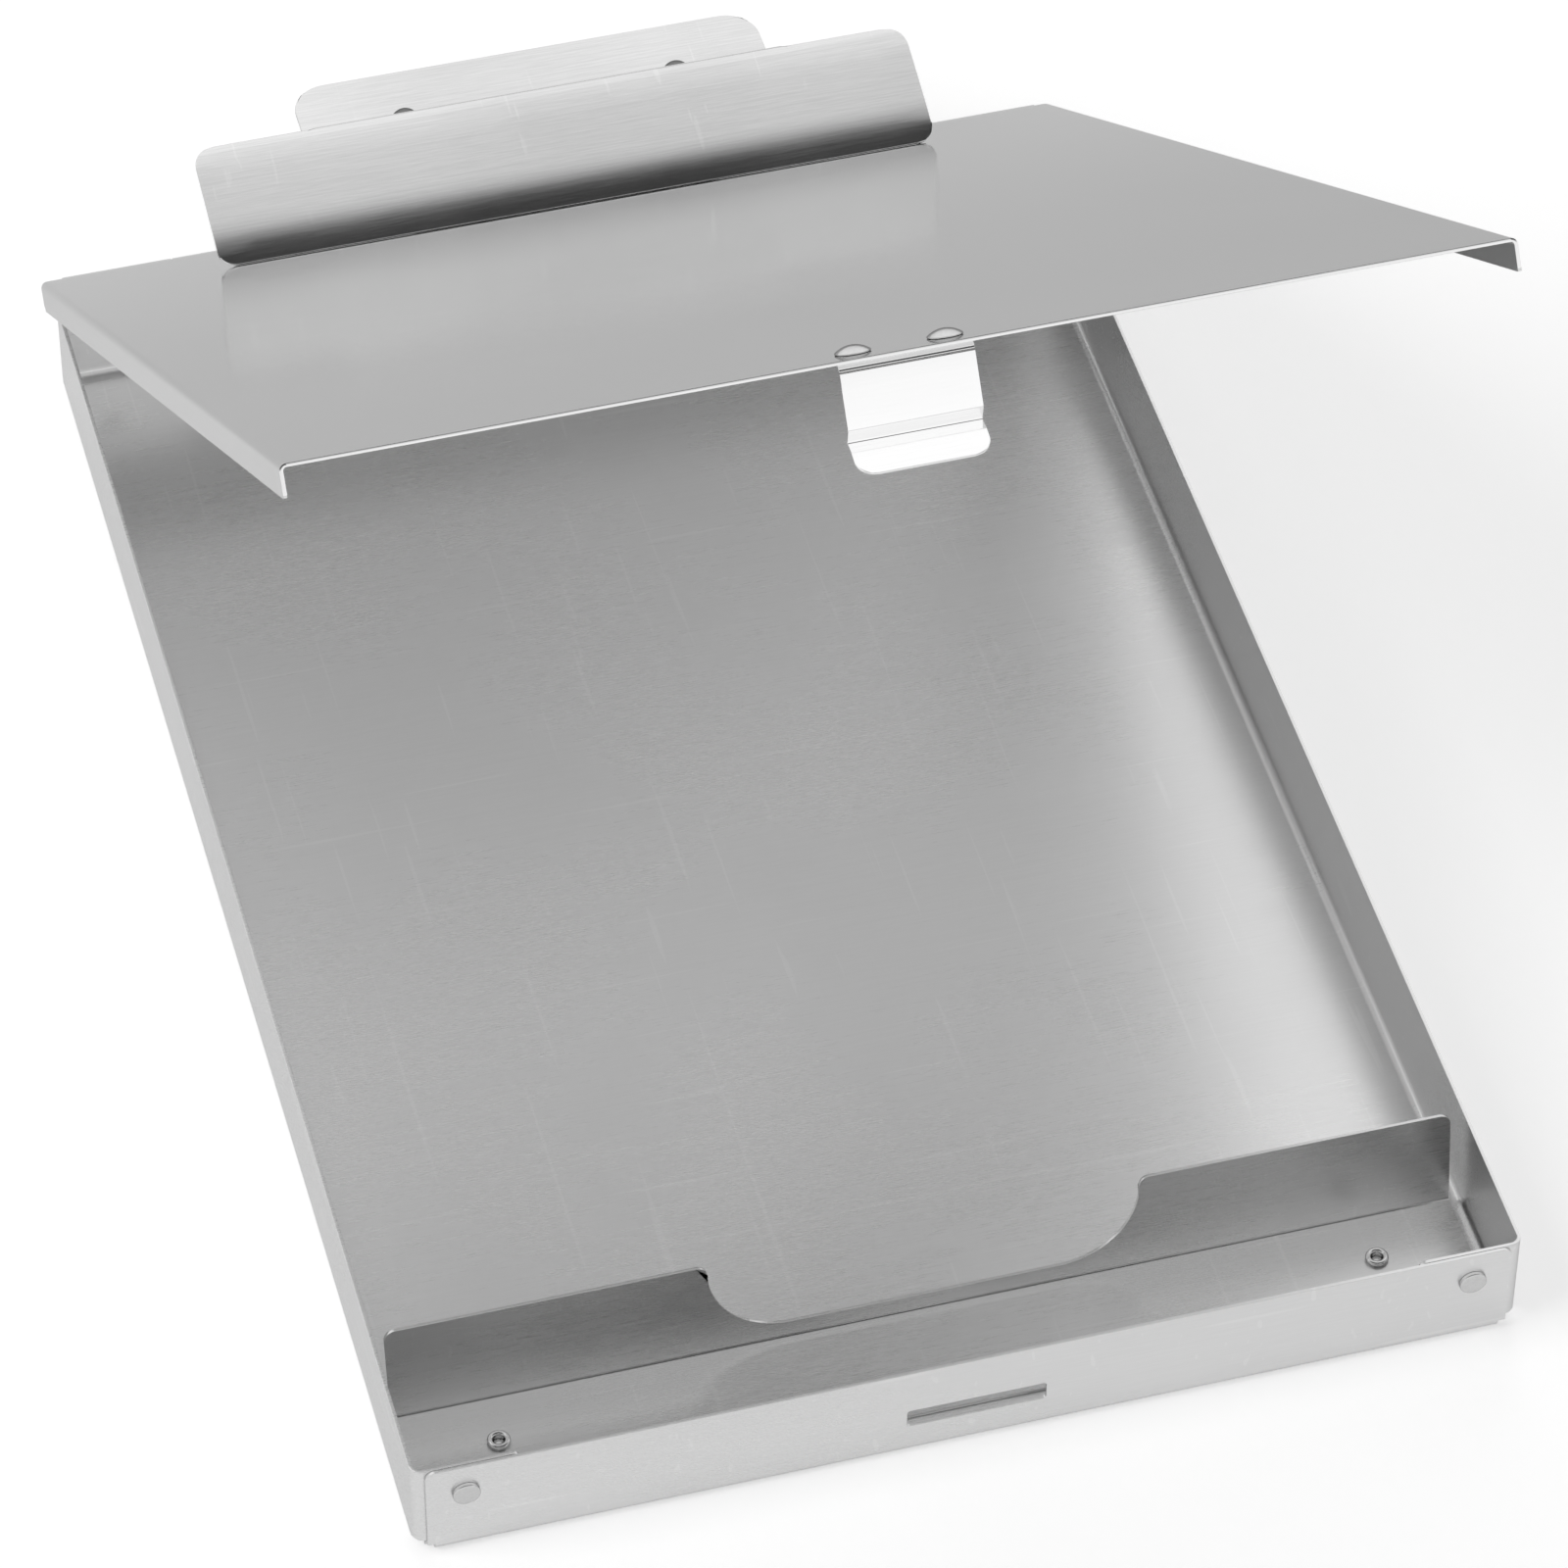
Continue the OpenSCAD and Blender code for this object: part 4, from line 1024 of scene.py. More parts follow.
@dataclass
class Tray(Assembly):
    """The folded tray with its corner rivets."""

    bend: float = 2.5
    wall_run: float = 60.0
    grid: float = 22.0
    tab: float = 22.0
    tab_corner: float = 1.6
    tab_root: float = 0.5
    step_corner: float = 0.4
    panel_inset: float = 2.6
    panel_corner: float = 2.2
    notch: float = 3.2
    relief: float = 1.5
    rear_step: float = 1.5
    slot_x: float = 0.5
    slot_z: float = 10.7
    slot_size: Flat = (28.9, 4.7)
    slot_corner: float = 0.7
    rivet_rise: float = 0.9
    rivet_lip: float = 0.22
    rivet_tail: float = 4.6
    tail_ease: float = 0.3

    def __post_init__(self) -> None:
        """Works out where the folds start."""
        self.arc = self.bend * math.pi / 2
        self.fold_u = PLAN.half_width - self.bend
        self.wall_u = self.fold_u + self.arc
        self.fold_v = PLAN.half_length - self.bend
        self.tab_v = PLAN.half_length - PLAN.sheet - PLAN.seat - self.bend
        quarter = Bend(0.0, 90.0, self.bend)
        self.side, self.end, self.corner = (
            FoldPath((0, 0), 0, [Bend(start), quarter, Bend(self.wall_run)])
            for start in (self.fold_u, self.fold_v, self.tab_v)
        )

    def _corner(self, height: float, step: float) -> list[Corner]:
        """Draws a corner of the blank from a side wall's top to an end panel's top.

        Args:
            height: height of the end panel and of the tab behind it.
            step: length by which the wall steps down before the corner.

        Returns:
            Absolute u, absolute v and corner radius of each point.
        """
        top = self.wall_u + PLAN.height - self.bend
        tab_top = self.wall_u + height - self.bend
        tab_low = self.wall_u + self.notch - self.bend
        tab_end = self.tab_v + self.arc + self.tab - self.bend
        panel = PLAN.half_width - self.panel_inset
        panel_low = self.fold_v + self.arc
        stepped = [(top, self.tab_v - step, self.step_corner), (tab_top, self.tab_v - step, 0.0)]
        return [
            *(stepped if step else []),
            (tab_top, tab_end, self.tab_corner),
            (tab_low, tab_end, self.tab_corner),
            (tab_low, self.tab_v, self.tab_root),
            (self.wall_u, self.tab_v, 0.0),
            (self.wall_u, self.tab_v - self.relief, 0.0),
            (self.fold_u, self.tab_v - self.relief, 0.0),
            (self.fold_u, self.fold_v, 0.0),
            (panel - self.relief, self.fold_v, 0.0),
            (panel - self.relief, panel_low, 0.0),
            (panel, panel_low, 0.0),
            (panel, panel_low + height - self.bend, self.panel_corner),
        ]

    def _holes(self) -> list[list[Flat]]:
        """Places the latch slot and the rivet holes on the blank.

        Returns:
            The outlines of the holes.
        """
        panel_low = self.fold_v + self.arc - self.bend
        width, height = self.slot_size
        slot = [
            (self.slot_x + su * width / 2, -(panel_low + self.slot_z + sv * height / 2), self.slot_corner)
            for su, sv in ((-1, 1), (1, 1), (1, -1), (-1, -1))
        ]
        holes = [rounded(slot)]
        radius = PLAN.bore(PLAN.thick_shank)
        tab_u = self.wall_u + PLAN.corner_rivet_z - self.bend
        tab_v = self.tab_v + self.arc + PLAN.half_width - PLAN.corner_rivet_x - self.bend
        for su in WAYS:
            for sv in WAYS:
                panel_v = panel_low + PLAN.corner_rivet_z
                holes.append(round_hole(su * PLAN.corner_rivet_x, sv * panel_v, radius))
                holes.append(round_hole(su * tab_u, sv * tab_v, radius))
        leaf_v = panel_low + PLAN.leaf_rivet_z
        holes += [round_hole(x, leaf_v, PLAN.bore(PLAN.thin_shank)) for x in PLAN.leaf_rivet_x]
        x, y = PLAN.divider_rivet
        return holes + [round_hole(way * x, y, PLAN.bore(PLAN.divider_ring)) for way in WAYS]

    def blank(self) -> Blank:
        """Cuts the whole tray as one flat sheet.

        Returns:
            The blank.
        """
        rear = self._corner(PLAN.rear_height, self.rear_step)
        front = self._corner(PLAN.height, 0.0)
        loop = [(u, v, r) for u, v, r in rear]
        loop += [(-u, v, r) for u, v, r in reversed(rear)]
        loop += [(-u, -v, r) for u, v, r in front]
        loop += [(u, -v, r) for u, v, r in reversed(front)]
        u_lines = [way * t for t in self.side.lines() for way in WAYS]
        v_lines = [way * t for path in (self.end, self.corner) for t in path.lines() for way in WAYS]
        return Blank(rounded(loop), self._holes(), u_lines, v_lines, self.grid)

    def fold(self, u: float, v: float) -> tuple[Vector, Vector]:
        """Bends a point of the blank: first its tab, then its wall.

        Args:
            u: place across the blank.
            v: place along the blank.

        Returns:
            The outer face's place and the direction into the sheet.
        """
        su, sv = math.copysign(1.0, u), math.copysign(1.0, v)
        if abs(v) > self.fold_v + TINY and abs(u) < PLAN.half_width - self.panel_inset + MARGIN:
            y, z, ny, nz = self.end.at(abs(v))
            return Vector((u, sv * y, z)), Vector((0, sv * ny, nz))
        x, z, nx, nz = self.side.at(abs(u))
        if abs(v) > self.tab_v + TINY and abs(u) > self.wall_u - TINY:
            y, depth, ny, nd = self.corner.at(abs(v))
            return Vector((su * (x - depth), sv * y, z)), Vector((-su * nd, sv * ny, 0))
        return Vector((su * x, v, z)), Vector((su * nx, 0, nz))

    def build(self) -> None:
        """Makes the shell and the rivets in its corners."""
        shell = folded_sheet("tray_folded_sheet", self.blank(), self.fold, PLAN.sheet)
        self.mount(shell, "tray", "tray_shell", "tray_metal", "tray_sheet", "sheared_edge")
        shank, tail = PLAN.thick_shank / 2, self.rivet_tail / 2
        low = -2 * (PLAN.sheet + PLAN.seat)
        profile = [
            (0.0, low - self.rivet_rise),
            (tail - self.tail_ease, low - self.rivet_rise),
            (tail, low - self.rivet_rise + self.tail_ease),
            (tail, low),
            (shank, low),
            (shank, PLAN.seat),
            *raised(flat_profile(PLAN.corner_rivet_head, self.rivet_rise, self.rivet_lip), PLAN.seat),
        ]
        for way, name in zip(WAYS, ("front_corner_rivets", "rear_corner_rivets")):
            x, y, z = PLAN.corner_rivet_x, way * PLAN.half_length, PLAN.corner_rivet_z
            places = [placed(Vector((side * x, y, z)), Vector((0, way, 0))) for side in WAYS]
            rivets = turned(name + "_turned", profile, places)
            self.mount(rivets, "tray", name, "rivet_metal", "rivet_bright")


# Divider


@dataclass
class PenDivider(Assembly):
    """The bent divider of the front compartment and its hollow rivets."""

    fold_y: float = -139.6
    height: float = 23.2
    lean: float = 8.7
    sheet: float = 0.8
    bend: float = 1.3
    width: float = 223.2
    foot: float = 27.0
    foot_corner: float = 2.0
    scoop: Flat = (90.5, 4.4)
    scoop_radius: float = 17.0
    scoop_lip: float = 2.2
    corner: float = 2.4
    ring_wire: float = 0.6
    bore: float = 2.0
    bore_flare: float = 0.12
    head: Flat = (0.36, 0.06)
    floor: float = 0.4

    def build(self) -> None:
        """Makes the divider and its rivets."""
        turn = 90.0 - self.lean
        setback = self.bend * math.tan(math.radians(turn) / 2)
        start = self.fold_y - self.foot
        rise = self.height / math.cos(math.radians(self.lean))
        bend = Bend(self.foot - setback, turn, self.bend)
        path = FoldPath((start, PLAN.sheet + PLAN.seat), 0, [bend, Bend(rise)], step=12)
        up = bend.run + bend.arc - setback
        half, lip = self.width / 2, self.scoop[0] / 2
        outline = [
            (-half, 0.0, self.foot_corner),
            (half, 0.0, self.foot_corner),
            (half, up + rise, self.corner),
            (lip, up + rise, self.scoop_lip),
            (lip, up + self.scoop[1], self.scoop_radius),
            (-lip, up + self.scoop[1], self.scoop_radius),
            (-lip, up + rise, self.scoop_lip),
            (-half, up + rise, self.corner),
        ]
        x, y = PLAN.divider_rivet
        holes = [round_hole(way * x, y - start, PLAN.bore(PLAN.thin_shank)) for way in WAYS]
        blank = Blank(rounded(outline, 60), holes, [], path.lines(), grid=16.0)
        sheet = folded_sheet("divider_bent_sheet", blank, bent_along(path), self.sheet)
        self.mount(sheet, "tray", "pen_divider", "divider_metal", "divider_sheet", "sheared_edge")
        self._rivets()

    def _rivets(self) -> None:
        """Makes the hollow rivets, rolled over on top and flush below."""
        ring, shank, bore = PLAN.divider_ring / 2, PLAN.thin_shank / 2, self.bore / 2
        wire, ease = self.ring_wire, self.head[1]
        top = PLAN.sheet + self.sheet + 3 * PLAN.seat
        profile = [
            (0.0, PLAN.seat),
            (ring - 0.05, PLAN.seat),
            (ring, PLAN.seat + ease),
            (ring, self.head[0]),
            (shank, self.head[0]),
            (shank, top),
            *arc_points((ring - wire, top + wire * 0.9), wire, -60, 205, 12),
            (bore + self.bore_flare, top - 0.1),
            (bore, top - self.floor),
            (bore, self.floor),
            (0.0, self.floor),
        ]
        x, y = PLAN.divider_rivet
        places = [placed(Vector((way * x, y, 0)), Vector((0, 0, 1))) for way in WAYS]
        rivets = turned("divider_rivets_rolled", profile, places)
        self.mount(rivets, "tray", "divider_rivets", "rivet_metal", "rivet_bright")


# Hinge


@dataclass
class PianoHinge(Assembly):
    """The two leaves with their rolled knuckles, the pin and the leaf rivets."""

    sheet: float = 1.2
    knuckle: float = 3.0
    pin: float = 1.5
    pin_ease: float = 0.4
    count: int = 9
    gap: float = 0.4
    curl: float = 288.0
    leaf_corner: float = 1.5
    knuckle_corner: float = 0.2
    tray_low: float = 4.0
    tray_top: float = 20.3
    tray_jog_z: float = 15.0
    tray_jog: Flat = (5.0, 3.0)
    lid_depth: float = 24.0
    lid_setback: float = 0.2
    lid_left: float = -111.5
    lid_right: float = 113.2
    lid_jog: Flat = (24.0, 1.6)
    lid_run: float = 0.1
    rivet_clearance: float = 0.5
    rivet_head: float = 5.2
    rivet_rise: float = 0.9
    rivet_lip: float = 0.16
    tail: float = 4.4
    tail_ease: float = 0.3

    def _teeth(self, first: int, root: float, tip: float, ends: Flat) -> list[Corner]:
        """Draws the outline of a leaf with its knuckle tabs.

        Args:
            first: 0 if the leaf has the first knuckle, 1 if the other leaf has it.
            root: v where the tabs begin.
            tip: v where the tabs end.
            ends: left and right end of the leaf.

        Returns:
            The corners in order, with their radii.
        """
        pitch, near = PLAN.hinge_length / self.count, 1.0
        loop = [(ends[0], 0.0, self.leaf_corner), (ends[1], 0.0, self.leaf_corner), (ends[1], root, 0.0)]
        for i in reversed(range(first, self.count, 2)):
            left = PLAN.hinge_x + i * pitch + self.gap / 2
            right = left + pitch - self.gap
            if abs(right - ends[1]) < near:
                loop.pop()
            else:
                loop.append((right, root, 0.0))
            loop += [(right, tip, self.knuckle_corner), (left, tip, self.knuckle_corner)]
            if abs(left - ends[0]) > near:
                loop.append((left, root, 0.0))
        if abs(loop[-1][0] - ends[0]) > near:
            loop.append((ends[0], root, 0.0))
        return loop

    def _leaf(self, body: str, path: FoldPath, outline: list[Corner], holes: list[list[Flat]]) -> None:
        """Rolls a leaf and mounts it.

        Args:
            body: the body that it rides on, tray or lid.
            path: its side profile.
            outline: its outline.
            holes: its holes.
        """
        blank = Blank(rounded(outline), holes, [], path.lines(), grid=24.0)
        fold = bent_along(path, on_lid=body == "lid")
        leaf = folded_sheet(body + "_leaf_rolled", blank, fold, self.sheet, edge=0.1)
        self.mount(leaf, body, body + "_hinge_leaf", "hinge_metal", "hinge_sheet", "sheared_edge")

    def build(self) -> None:
        """Makes both leaves, the rivets and the pin."""
        self._tray_leaf()
        self._leaf_rivets()
        self._lid_leaf()
        r, ease, length = self.pin, self.pin_ease, PLAN.hinge_length
        ends = arc_points((r - ease, ease), ease, -90, 0, 3)
        profile = [(0.0, 0.0), *ends, *[(x, length - z) for x, z in reversed(ends)], (0.0, length)]
        place = placed(Vector((PLAN.hinge_x, PLAN.hinge_y, PLAN.hinge_z)), Vector((1, 0, 0)))
        pin = turned("hinge_pin_rod", profile, [place], sides=32)
        self.mount(pin, "tray", "hinge_pin", "pin_steel", "pin_steel")

    def _tray_leaf(self) -> None:
        """Makes the leaf on the rear wall."""
        face = PLAN.half_length + PLAN.seat
        tilt, bow = self.tray_jog
        slant, tall = jog(PLAN.hinge_y - self.knuckle - face, tilt, bow)
        bends = [
            Bend(self.tray_jog_z - self.tray_low, -tilt, bow),
            Bend(slant, tilt, bow),
            Bend(PLAN.hinge_z - self.tray_jog_z - tall, -self.curl, self.knuckle),
        ]
        path = FoldPath((face, self.tray_low), 90, bends, Side.RIGHT, step=14)
        ends = (PLAN.hinge_x + self.gap / 2, PLAN.hinge_x + PLAN.hinge_length - self.gap / 2)
        outline = self._teeth(0, self.tray_top - self.tray_low, path.length, ends)
        v = PLAN.leaf_rivet_z - self.tray_low
        holes = [round_hole(x, v, PLAN.bore(PLAN.thin_shank)) for x in PLAN.leaf_rivet_x]
        clear, v = PLAN.corner_rivet_head / 2 + self.rivet_clearance, PLAN.corner_rivet_z - self.tray_low
        holes += [round_hole(way * PLAN.corner_rivet_x, v, clear) for way in WAYS]
        self._leaf("tray", path, outline, holes)

    def _leaf_rivets(self) -> None:
        """Makes the rivets through the rear leaf and the rear wall."""
        top, back = self.sheet + 2 * PLAN.seat, -PLAN.sheet - PLAN.seat
        shank, tail = PLAN.thin_shank / 2, self.tail / 2
        profile = [
            (0.0, back - self.rivet_rise),
            (tail - self.tail_ease, back - self.rivet_rise),
            (tail, back - self.rivet_rise + self.tail_ease),
            (tail, back),
            (shank, back),
            (shank, top),
            *raised(dome_profile(self.rivet_head, self.rivet_rise, self.rivet_lip), top),
        ]
        y, z = PLAN.half_length, PLAN.leaf_rivet_z
        places = [placed(Vector((x, y, z)), Vector((0, 1, 0))) for x in PLAN.leaf_rivet_x]
        rivets = turned("tray_leaf_rivets_turned", profile, places)
        self.mount(rivets, "tray", "tray_leaf_rivets", "rivet_metal", "rivet_bright")

    def _lid_leaf(self) -> None:
        """Makes the leaf under the lid."""
        face = PLAN.lid_top - PLAN.sheet - PLAN.seat
        tilt, bow = self.lid_jog
        slant, reach = jog(PLAN.hinge_z + self.knuckle - face, tilt, bow)
        start = PLAN.lid_rear_y - self.lid_setback - self.lid_depth
        bends = [
            Bend(PLAN.hinge_y - reach - self.lid_run - start, tilt, bow),
            Bend(slant, -tilt, bow),
            Bend(self.lid_run, -self.curl, self.knuckle),
        ]
        path = FoldPath((start, face), 0, bends, Side.RIGHT, step=14)
        outline = self._teeth(1, self.lid_depth, path.length, (self.lid_left, self.lid_right))
        v = PLAN.lid_rear_y - PLAN.base_rivet_s - start
        radius = PLAN.bore(PLAN.thick_shank)
        holes = [round_hole(PLAN.clip_shift + way * PLAN.base_rivet_x, v, radius) for way in WAYS]
        self._leaf("lid", path, outline, holes)


# Lid


@dataclass
class Lid(Assembly):
    """The writing lid: a flat sheet with a folded flange on each side."""

    width: float = 236.8
    bend: float = 1.5
    flange: float = 6.6
    chamfer: float = 1.6
    front_corner: float = 0.9
    rear_corner: float = 0.5
    grid: float = 22.0

    def build(self) -> None:
        """Makes the lid."""
        quarter = Bend(self.width / 2 - self.bend, -90.0, self.bend)
        path = FoldPath((0, 0), 0, [quarter, Bend(self.flange - self.bend)], Side.RIGHT)
        end, cut = path.length, self.chamfer
        rear, front = PLAN.lid_rear_y, PLAN.lid_front_y
        right = [
            (end, front, self.front_corner),
            (end, rear - cut, self.rear_corner),
            (end - cut, rear, self.rear_corner),
        ]
        outline = right + [(-u, v, r) for u, v, r in reversed(right)]
        latch_x, latch_v = PLAN.latch_shift - PLAN.lid_shift, front + PLAN.latch_rivet_s
        clip_x, clip_v = PLAN.clip_shift - PLAN.lid_shift, rear - PLAN.base_rivet_s
        thin, thick = PLAN.bore(PLAN.thin_shank), PLAN.bore(PLAN.thick_shank)
        holes = [round_hole(latch_x + way * PLAN.latch_rivet_pitch / 2, latch_v, thin) for way in WAYS]
        holes += [round_hole(clip_x + way * PLAN.base_rivet_x, clip_v, thick) for way in WAYS]
        lines = [way * t for t in path.lines() for way in WAYS]

        def fold(u: float, v: float) -> tuple[Vector, Vector]:
            """Folds a point of the lid and turns it open.

            Args:
                u: place across the blank.
                v: place along the blank.

            Returns:
                The outer face's place and the direction into the sheet.
            """
            side = math.copysign(1.0, u)
            x, z, nx, nz = path.at(abs(u))
            place = Vector((PLAN.lid_shift + side * x, v, PLAN.lid_top + z))
            return PLAN.opened_face(place, Vector((side * nx, 0, nz)))

        blank = Blank(rounded(outline), holes, lines, [], self.grid)
        sheet = folded_sheet("lid_folded_sheet", blank, fold, PLAN.sheet)
        self.mount(sheet, "lid", "lid_shell", "lid_metal", "lid_sheet", "sheared_edge")


# Latch


@dataclass
class Latch(Assembly):
    """The spring strip at the front of the lid: foot, blade and two rivets."""

    width: float = 26.0
    sheet: float = 0.6
    edge: float = 0.08
    bend: float = 1.6
    standoff: float = 0.6
    foot: float = 13.0
    foot_corner: float = 1.5
    flex_gap: float = 0.35
    ridge: tuple[float, float, float, float] = (13.4, 16.1, 17.8, 2.6)
    ridge_radii: Corner = (0.6, 0.6, 0.45)
    lip: Flat = (21.7, 3.8)
    lip_corner: float = 3.6
    rivet_head: float = 6.9
    rivet_rise: float = 1.5
    rivet_lip: float = 0.2
    rivet_end: float = 0.25
    shank_ease: Flat = (0.2, 0.15)

    def build(self) -> None:
        """Makes the foot, the blade and the rivets."""
        half = self.width / 2
        top = PLAN.lid_top - PLAN.sheet - PLAN.seat
        outer = -PLAN.half_length - self.standoff - self.sheet
        start = outer + self.bend + self.foot
        path = FoldPath((start, top), 180, [Bend(self.foot, 90.0, self.bend)], step=11)
        end, r = path.length, self.foot_corner
        outline = [(-half, 0.0, r), (half, 0.0, r), (half, end, 0.0), (-half, end, 0.0)]
        v = start - (PLAN.lid_front_y + PLAN.latch_rivet_s)
        radius = PLAN.bore(PLAN.thin_shank)
        holes = [round_hole(way * PLAN.latch_rivet_pitch / 2, v, radius) for way in WAYS]
        blank = Blank(rounded(outline), holes, [], path.lines(), grid=5.0)
        fold = bent_along(path, PLAN.latch_shift, on_lid=True)
        strip = folded_sheet("latch_foot_bent", blank, fold, self.sheet, edge=self.edge)
        self.mount(strip, "lid", "latch_foot_strip", "latch_steel", "latch_bright", "latch_bright")
        self._blade(top - self.bend - self.flex_gap, outer + self.sheet / 2)
        self._rivets()

    def _blade(self, top: float, middle: float) -> None:
        """Makes the blade with its ridge and flared lip.

        Args:
            top: height of the blade's upper edge with the lid closed.
            middle: place of the middle of the sheet.
        """
        start, crest, end, depth = self.ridge
        low, reach = self.lip
        points = [
            (middle, top),
            (middle, PLAN.lid_top - start),
            (middle + depth, PLAN.lid_top - crest),
            (middle, PLAN.lid_top - end),
            (middle - reach, PLAN.lid_top - low),
        ]
        path = FoldPath(*through(points, self.ridge_radii), step=12)
        half, length, r = self.width / 2, path.length, self.lip_corner
        outline = [(-half, 0.0, 0.0), (half, 0.0, 0.0), (half, length, r), (-half, length, r)]
        blank = Blank(rounded(outline, 48), [], [], path.lines(), grid=4.0)
        fold = bent_along(path, PLAN.latch_shift, on_lid=True)
        blade = folded_sheet("latch_blade_bent", blank, fold, self.sheet, centred=True, edge=self.edge)
        self.mount(blade, "latch", "latch_blade", "latch_steel", "latch_bright", "latch_bright")

    def _rivets(self) -> None:
        """Makes the two domed rivets."""
        shank = PLAN.thin_shank / 2
        low = -PLAN.sheet - self.sheet - 2 * PLAN.seat - self.rivet_end
        profile = [
            (0.0, low),
            (shank - self.shank_ease[0], low),
            (shank, low + self.shank_ease[1]),
            (shank, PLAN.seat),
            *raised(dome_profile(self.rivet_head, self.rivet_rise, self.rivet_lip, 14), PLAN.seat),
        ]
        y = PLAN.lid_front_y + PLAN.latch_rivet_s
        up = PLAN.opened_face(Vector((0, 0, 0)), Vector((0, 0, 1)))[1]
        spots = [PLAN.latch_shift + way * PLAN.latch_rivet_pitch / 2 for way in WAYS]
        places = [placed(PLAN.opened(Vector((x, y, PLAN.lid_top))), up) for x in spots]
        rivets = turned("latch_rivets_domed", profile, places, sides=64)
        self.mount(rivets, "lid", "latch_rivets", "rivet_metal", "rivet_bright")


# Clip


@dataclass
class PaperClip(Assembly):
    """The sprung clip: its bent sheet and its two torsion springs."""

    jaw_width: float = 164.6
    lever_width: float = 108.7
    sheet: float = 1.0
    edge: float = 0.28
    tip: Flat = (35.2, 0.35)
    tip_heading: float = 115.0
    tip_bow: Flat = (11.0, 10.0)
    face_bow: Flat = (11.27, 0.5)
    brow_bow: Flat = (6.0, 4.5)
    jaw_corner: float = 4.0
    jaw_shoulder: float = 6.0
    shoulder_root: float = 0.5
    lever_corner: float = 8.0
    crest: float = 4.0
    shoulder_heading: float = 170.0
    shelf: float = 13.98
    shelf_slope: float = 10.17
    lever_bend: float = 5.0
    lever_rise: float = 38.0
    lever: float = 13.1
    shelf_share: float = 0.8
    shelf_pitch: float = 63.2
    wire: float = 0.6
    coil: float = 3.1
    coil_turns: int = 5
    coil_gap: float = 0.5
    coil_step: float = 15.0
    coil_x: float = 16.0
    leg: float = 7.4
    leg_low: float = 212.0
    leg_high: float = 170.0

    def __post_init__(self) -> None:
        """Works out the side profile of the bent sheet."""
        bows = [
            Bend(0.0, turn, length / math.radians(turn))
            for length, turn in (self.tip_bow, self.face_bow, self.brow_bow)
        ]
        crest_heading = self.tip_heading + sum(bow.turn for bow in bows)
        crest = Bend(0.0, 180.0 + self.shelf_slope - crest_heading, self.crest)
        shelf = Bend(self.shelf, -(self.shelf_slope + self.lever_rise), self.lever_bend)
        self.path = FoldPath(self.tip, self.tip_heading, [*bows, crest, shelf, Bend(self.lever)], step=3)
        face = sum(bow.arc for bow in bows)
        self.shoulder_v = face + self.crest * math.radians(self.shoulder_heading - crest_heading)
        self.shelf_v = face + crest.arc

    def _fold(self, u: float, v: float) -> tuple[Vector, Vector]:
        """Bends a point of the clip sheet and sets it on the open lid.

        Args:
            u: place across the blank.
            v: place along the blank.

        Returns:
            The outer face's place and the direction into the sheet.
        """
        s, n, ds, dn = self.path.at(v)
        place = PLAN.on_lid(u, s, n)
        return place, PLAN.on_lid(u, s + ds, n + dn) - place

    def build(self) -> None:
        """Makes the sheet and the springs."""
        jaw, lever, end = self.jaw_width / 2, self.lever_width / 2, self.path.length
        outline = [
            (-jaw, 0.0, self.jaw_corner),
            (jaw, 0.0, self.jaw_corner),
            (jaw, self.shoulder_v, self.jaw_shoulder),
            (lever, self.shoulder_v, self.shoulder_root),
            (lever, end, self.lever_corner),
            (-lever, end, self.lever_corner),
            (-lever, self.shoulder_v, self.shoulder_root),
            (-jaw, self.shoulder_v, self.jaw_shoulder),
        ]
        v, radius = self.shelf_v + self.shelf * self.shelf_share, PLAN.bore(PLAN.thin_shank)
        holes = [round_hole(way * self.shelf_pitch / 2, v, radius) for way in WAYS]
        blank = Blank(rounded(outline, 60), holes, [], self.path.lines(), grid=9.0)
        sheet = folded_sheet("clip_bent_sheet", blank, self._fold, self.sheet, edge=self.edge)
        self.mount(sheet, "clip", "clip_sheet", "clip_steel", "clip_brushed", "sheared_edge")
        self._springs()

    def _wire_line(self) -> list[Vector]:
        """Winds the middle line of a spring: a straight leg, the coils and the other leg.

        Returns:
            Distance from the middle coil end, s and n of each point.
        """
        start = self.leg_low + 90.0
        sweep = 360.0 * self.coil_turns + self.leg_high - 90.0 - start + 360.0
        steps = round(sweep / self.coil_step)
        pitch = 2 * self.wire + self.coil_gap

        coils = []
        for i in range(steps + 1):
            t = i / steps
            a = math.radians(start + t * sweep)
            s, n = PLAN.pivot_s + self.coil * math.cos(a), PLAN.pivot_n + self.coil * math.sin(a)
            coils.append(Vector((t * sweep / 360.0 * pitch, s, n)))
        legs = []
        for end, angle in ((coils[0], self.leg_low), (coils[-1], self.leg_high)):
            a = math.radians(angle)
            legs.append(end + Vector((0, self.leg * math.cos(a), self.leg * math.sin(a))))
        return [legs[0], *coils, legs[1]]

    def _springs(self) -> None:
        """Makes the two torsion springs as round wire on one smooth line."""
        line = self._wire_line()
        data = bpy.data.curves.new("clip_springs_wound", "CURVE")
        data.dimensions = "3D"
        data.bevel_depth = self.wire * MM
        data.bevel_resolution = 4
        data.use_fill_caps = True
        for way in WAYS:
            spline = data.splines.new("POLY")
            spline.points.add(len(line) - 1)
            for point, at in zip(spline.points, line):
                point.co = (*PLAN.on_lid(way * (self.coil_x + at.x), at.y, at.z) * MM, 1.0)
            spline.use_smooth = True
        springs = new_object("clip_springs_wound", data)
        self.mount(springs, "lid", "clip_springs", "spring_steel", "spring_wire")


# Studio


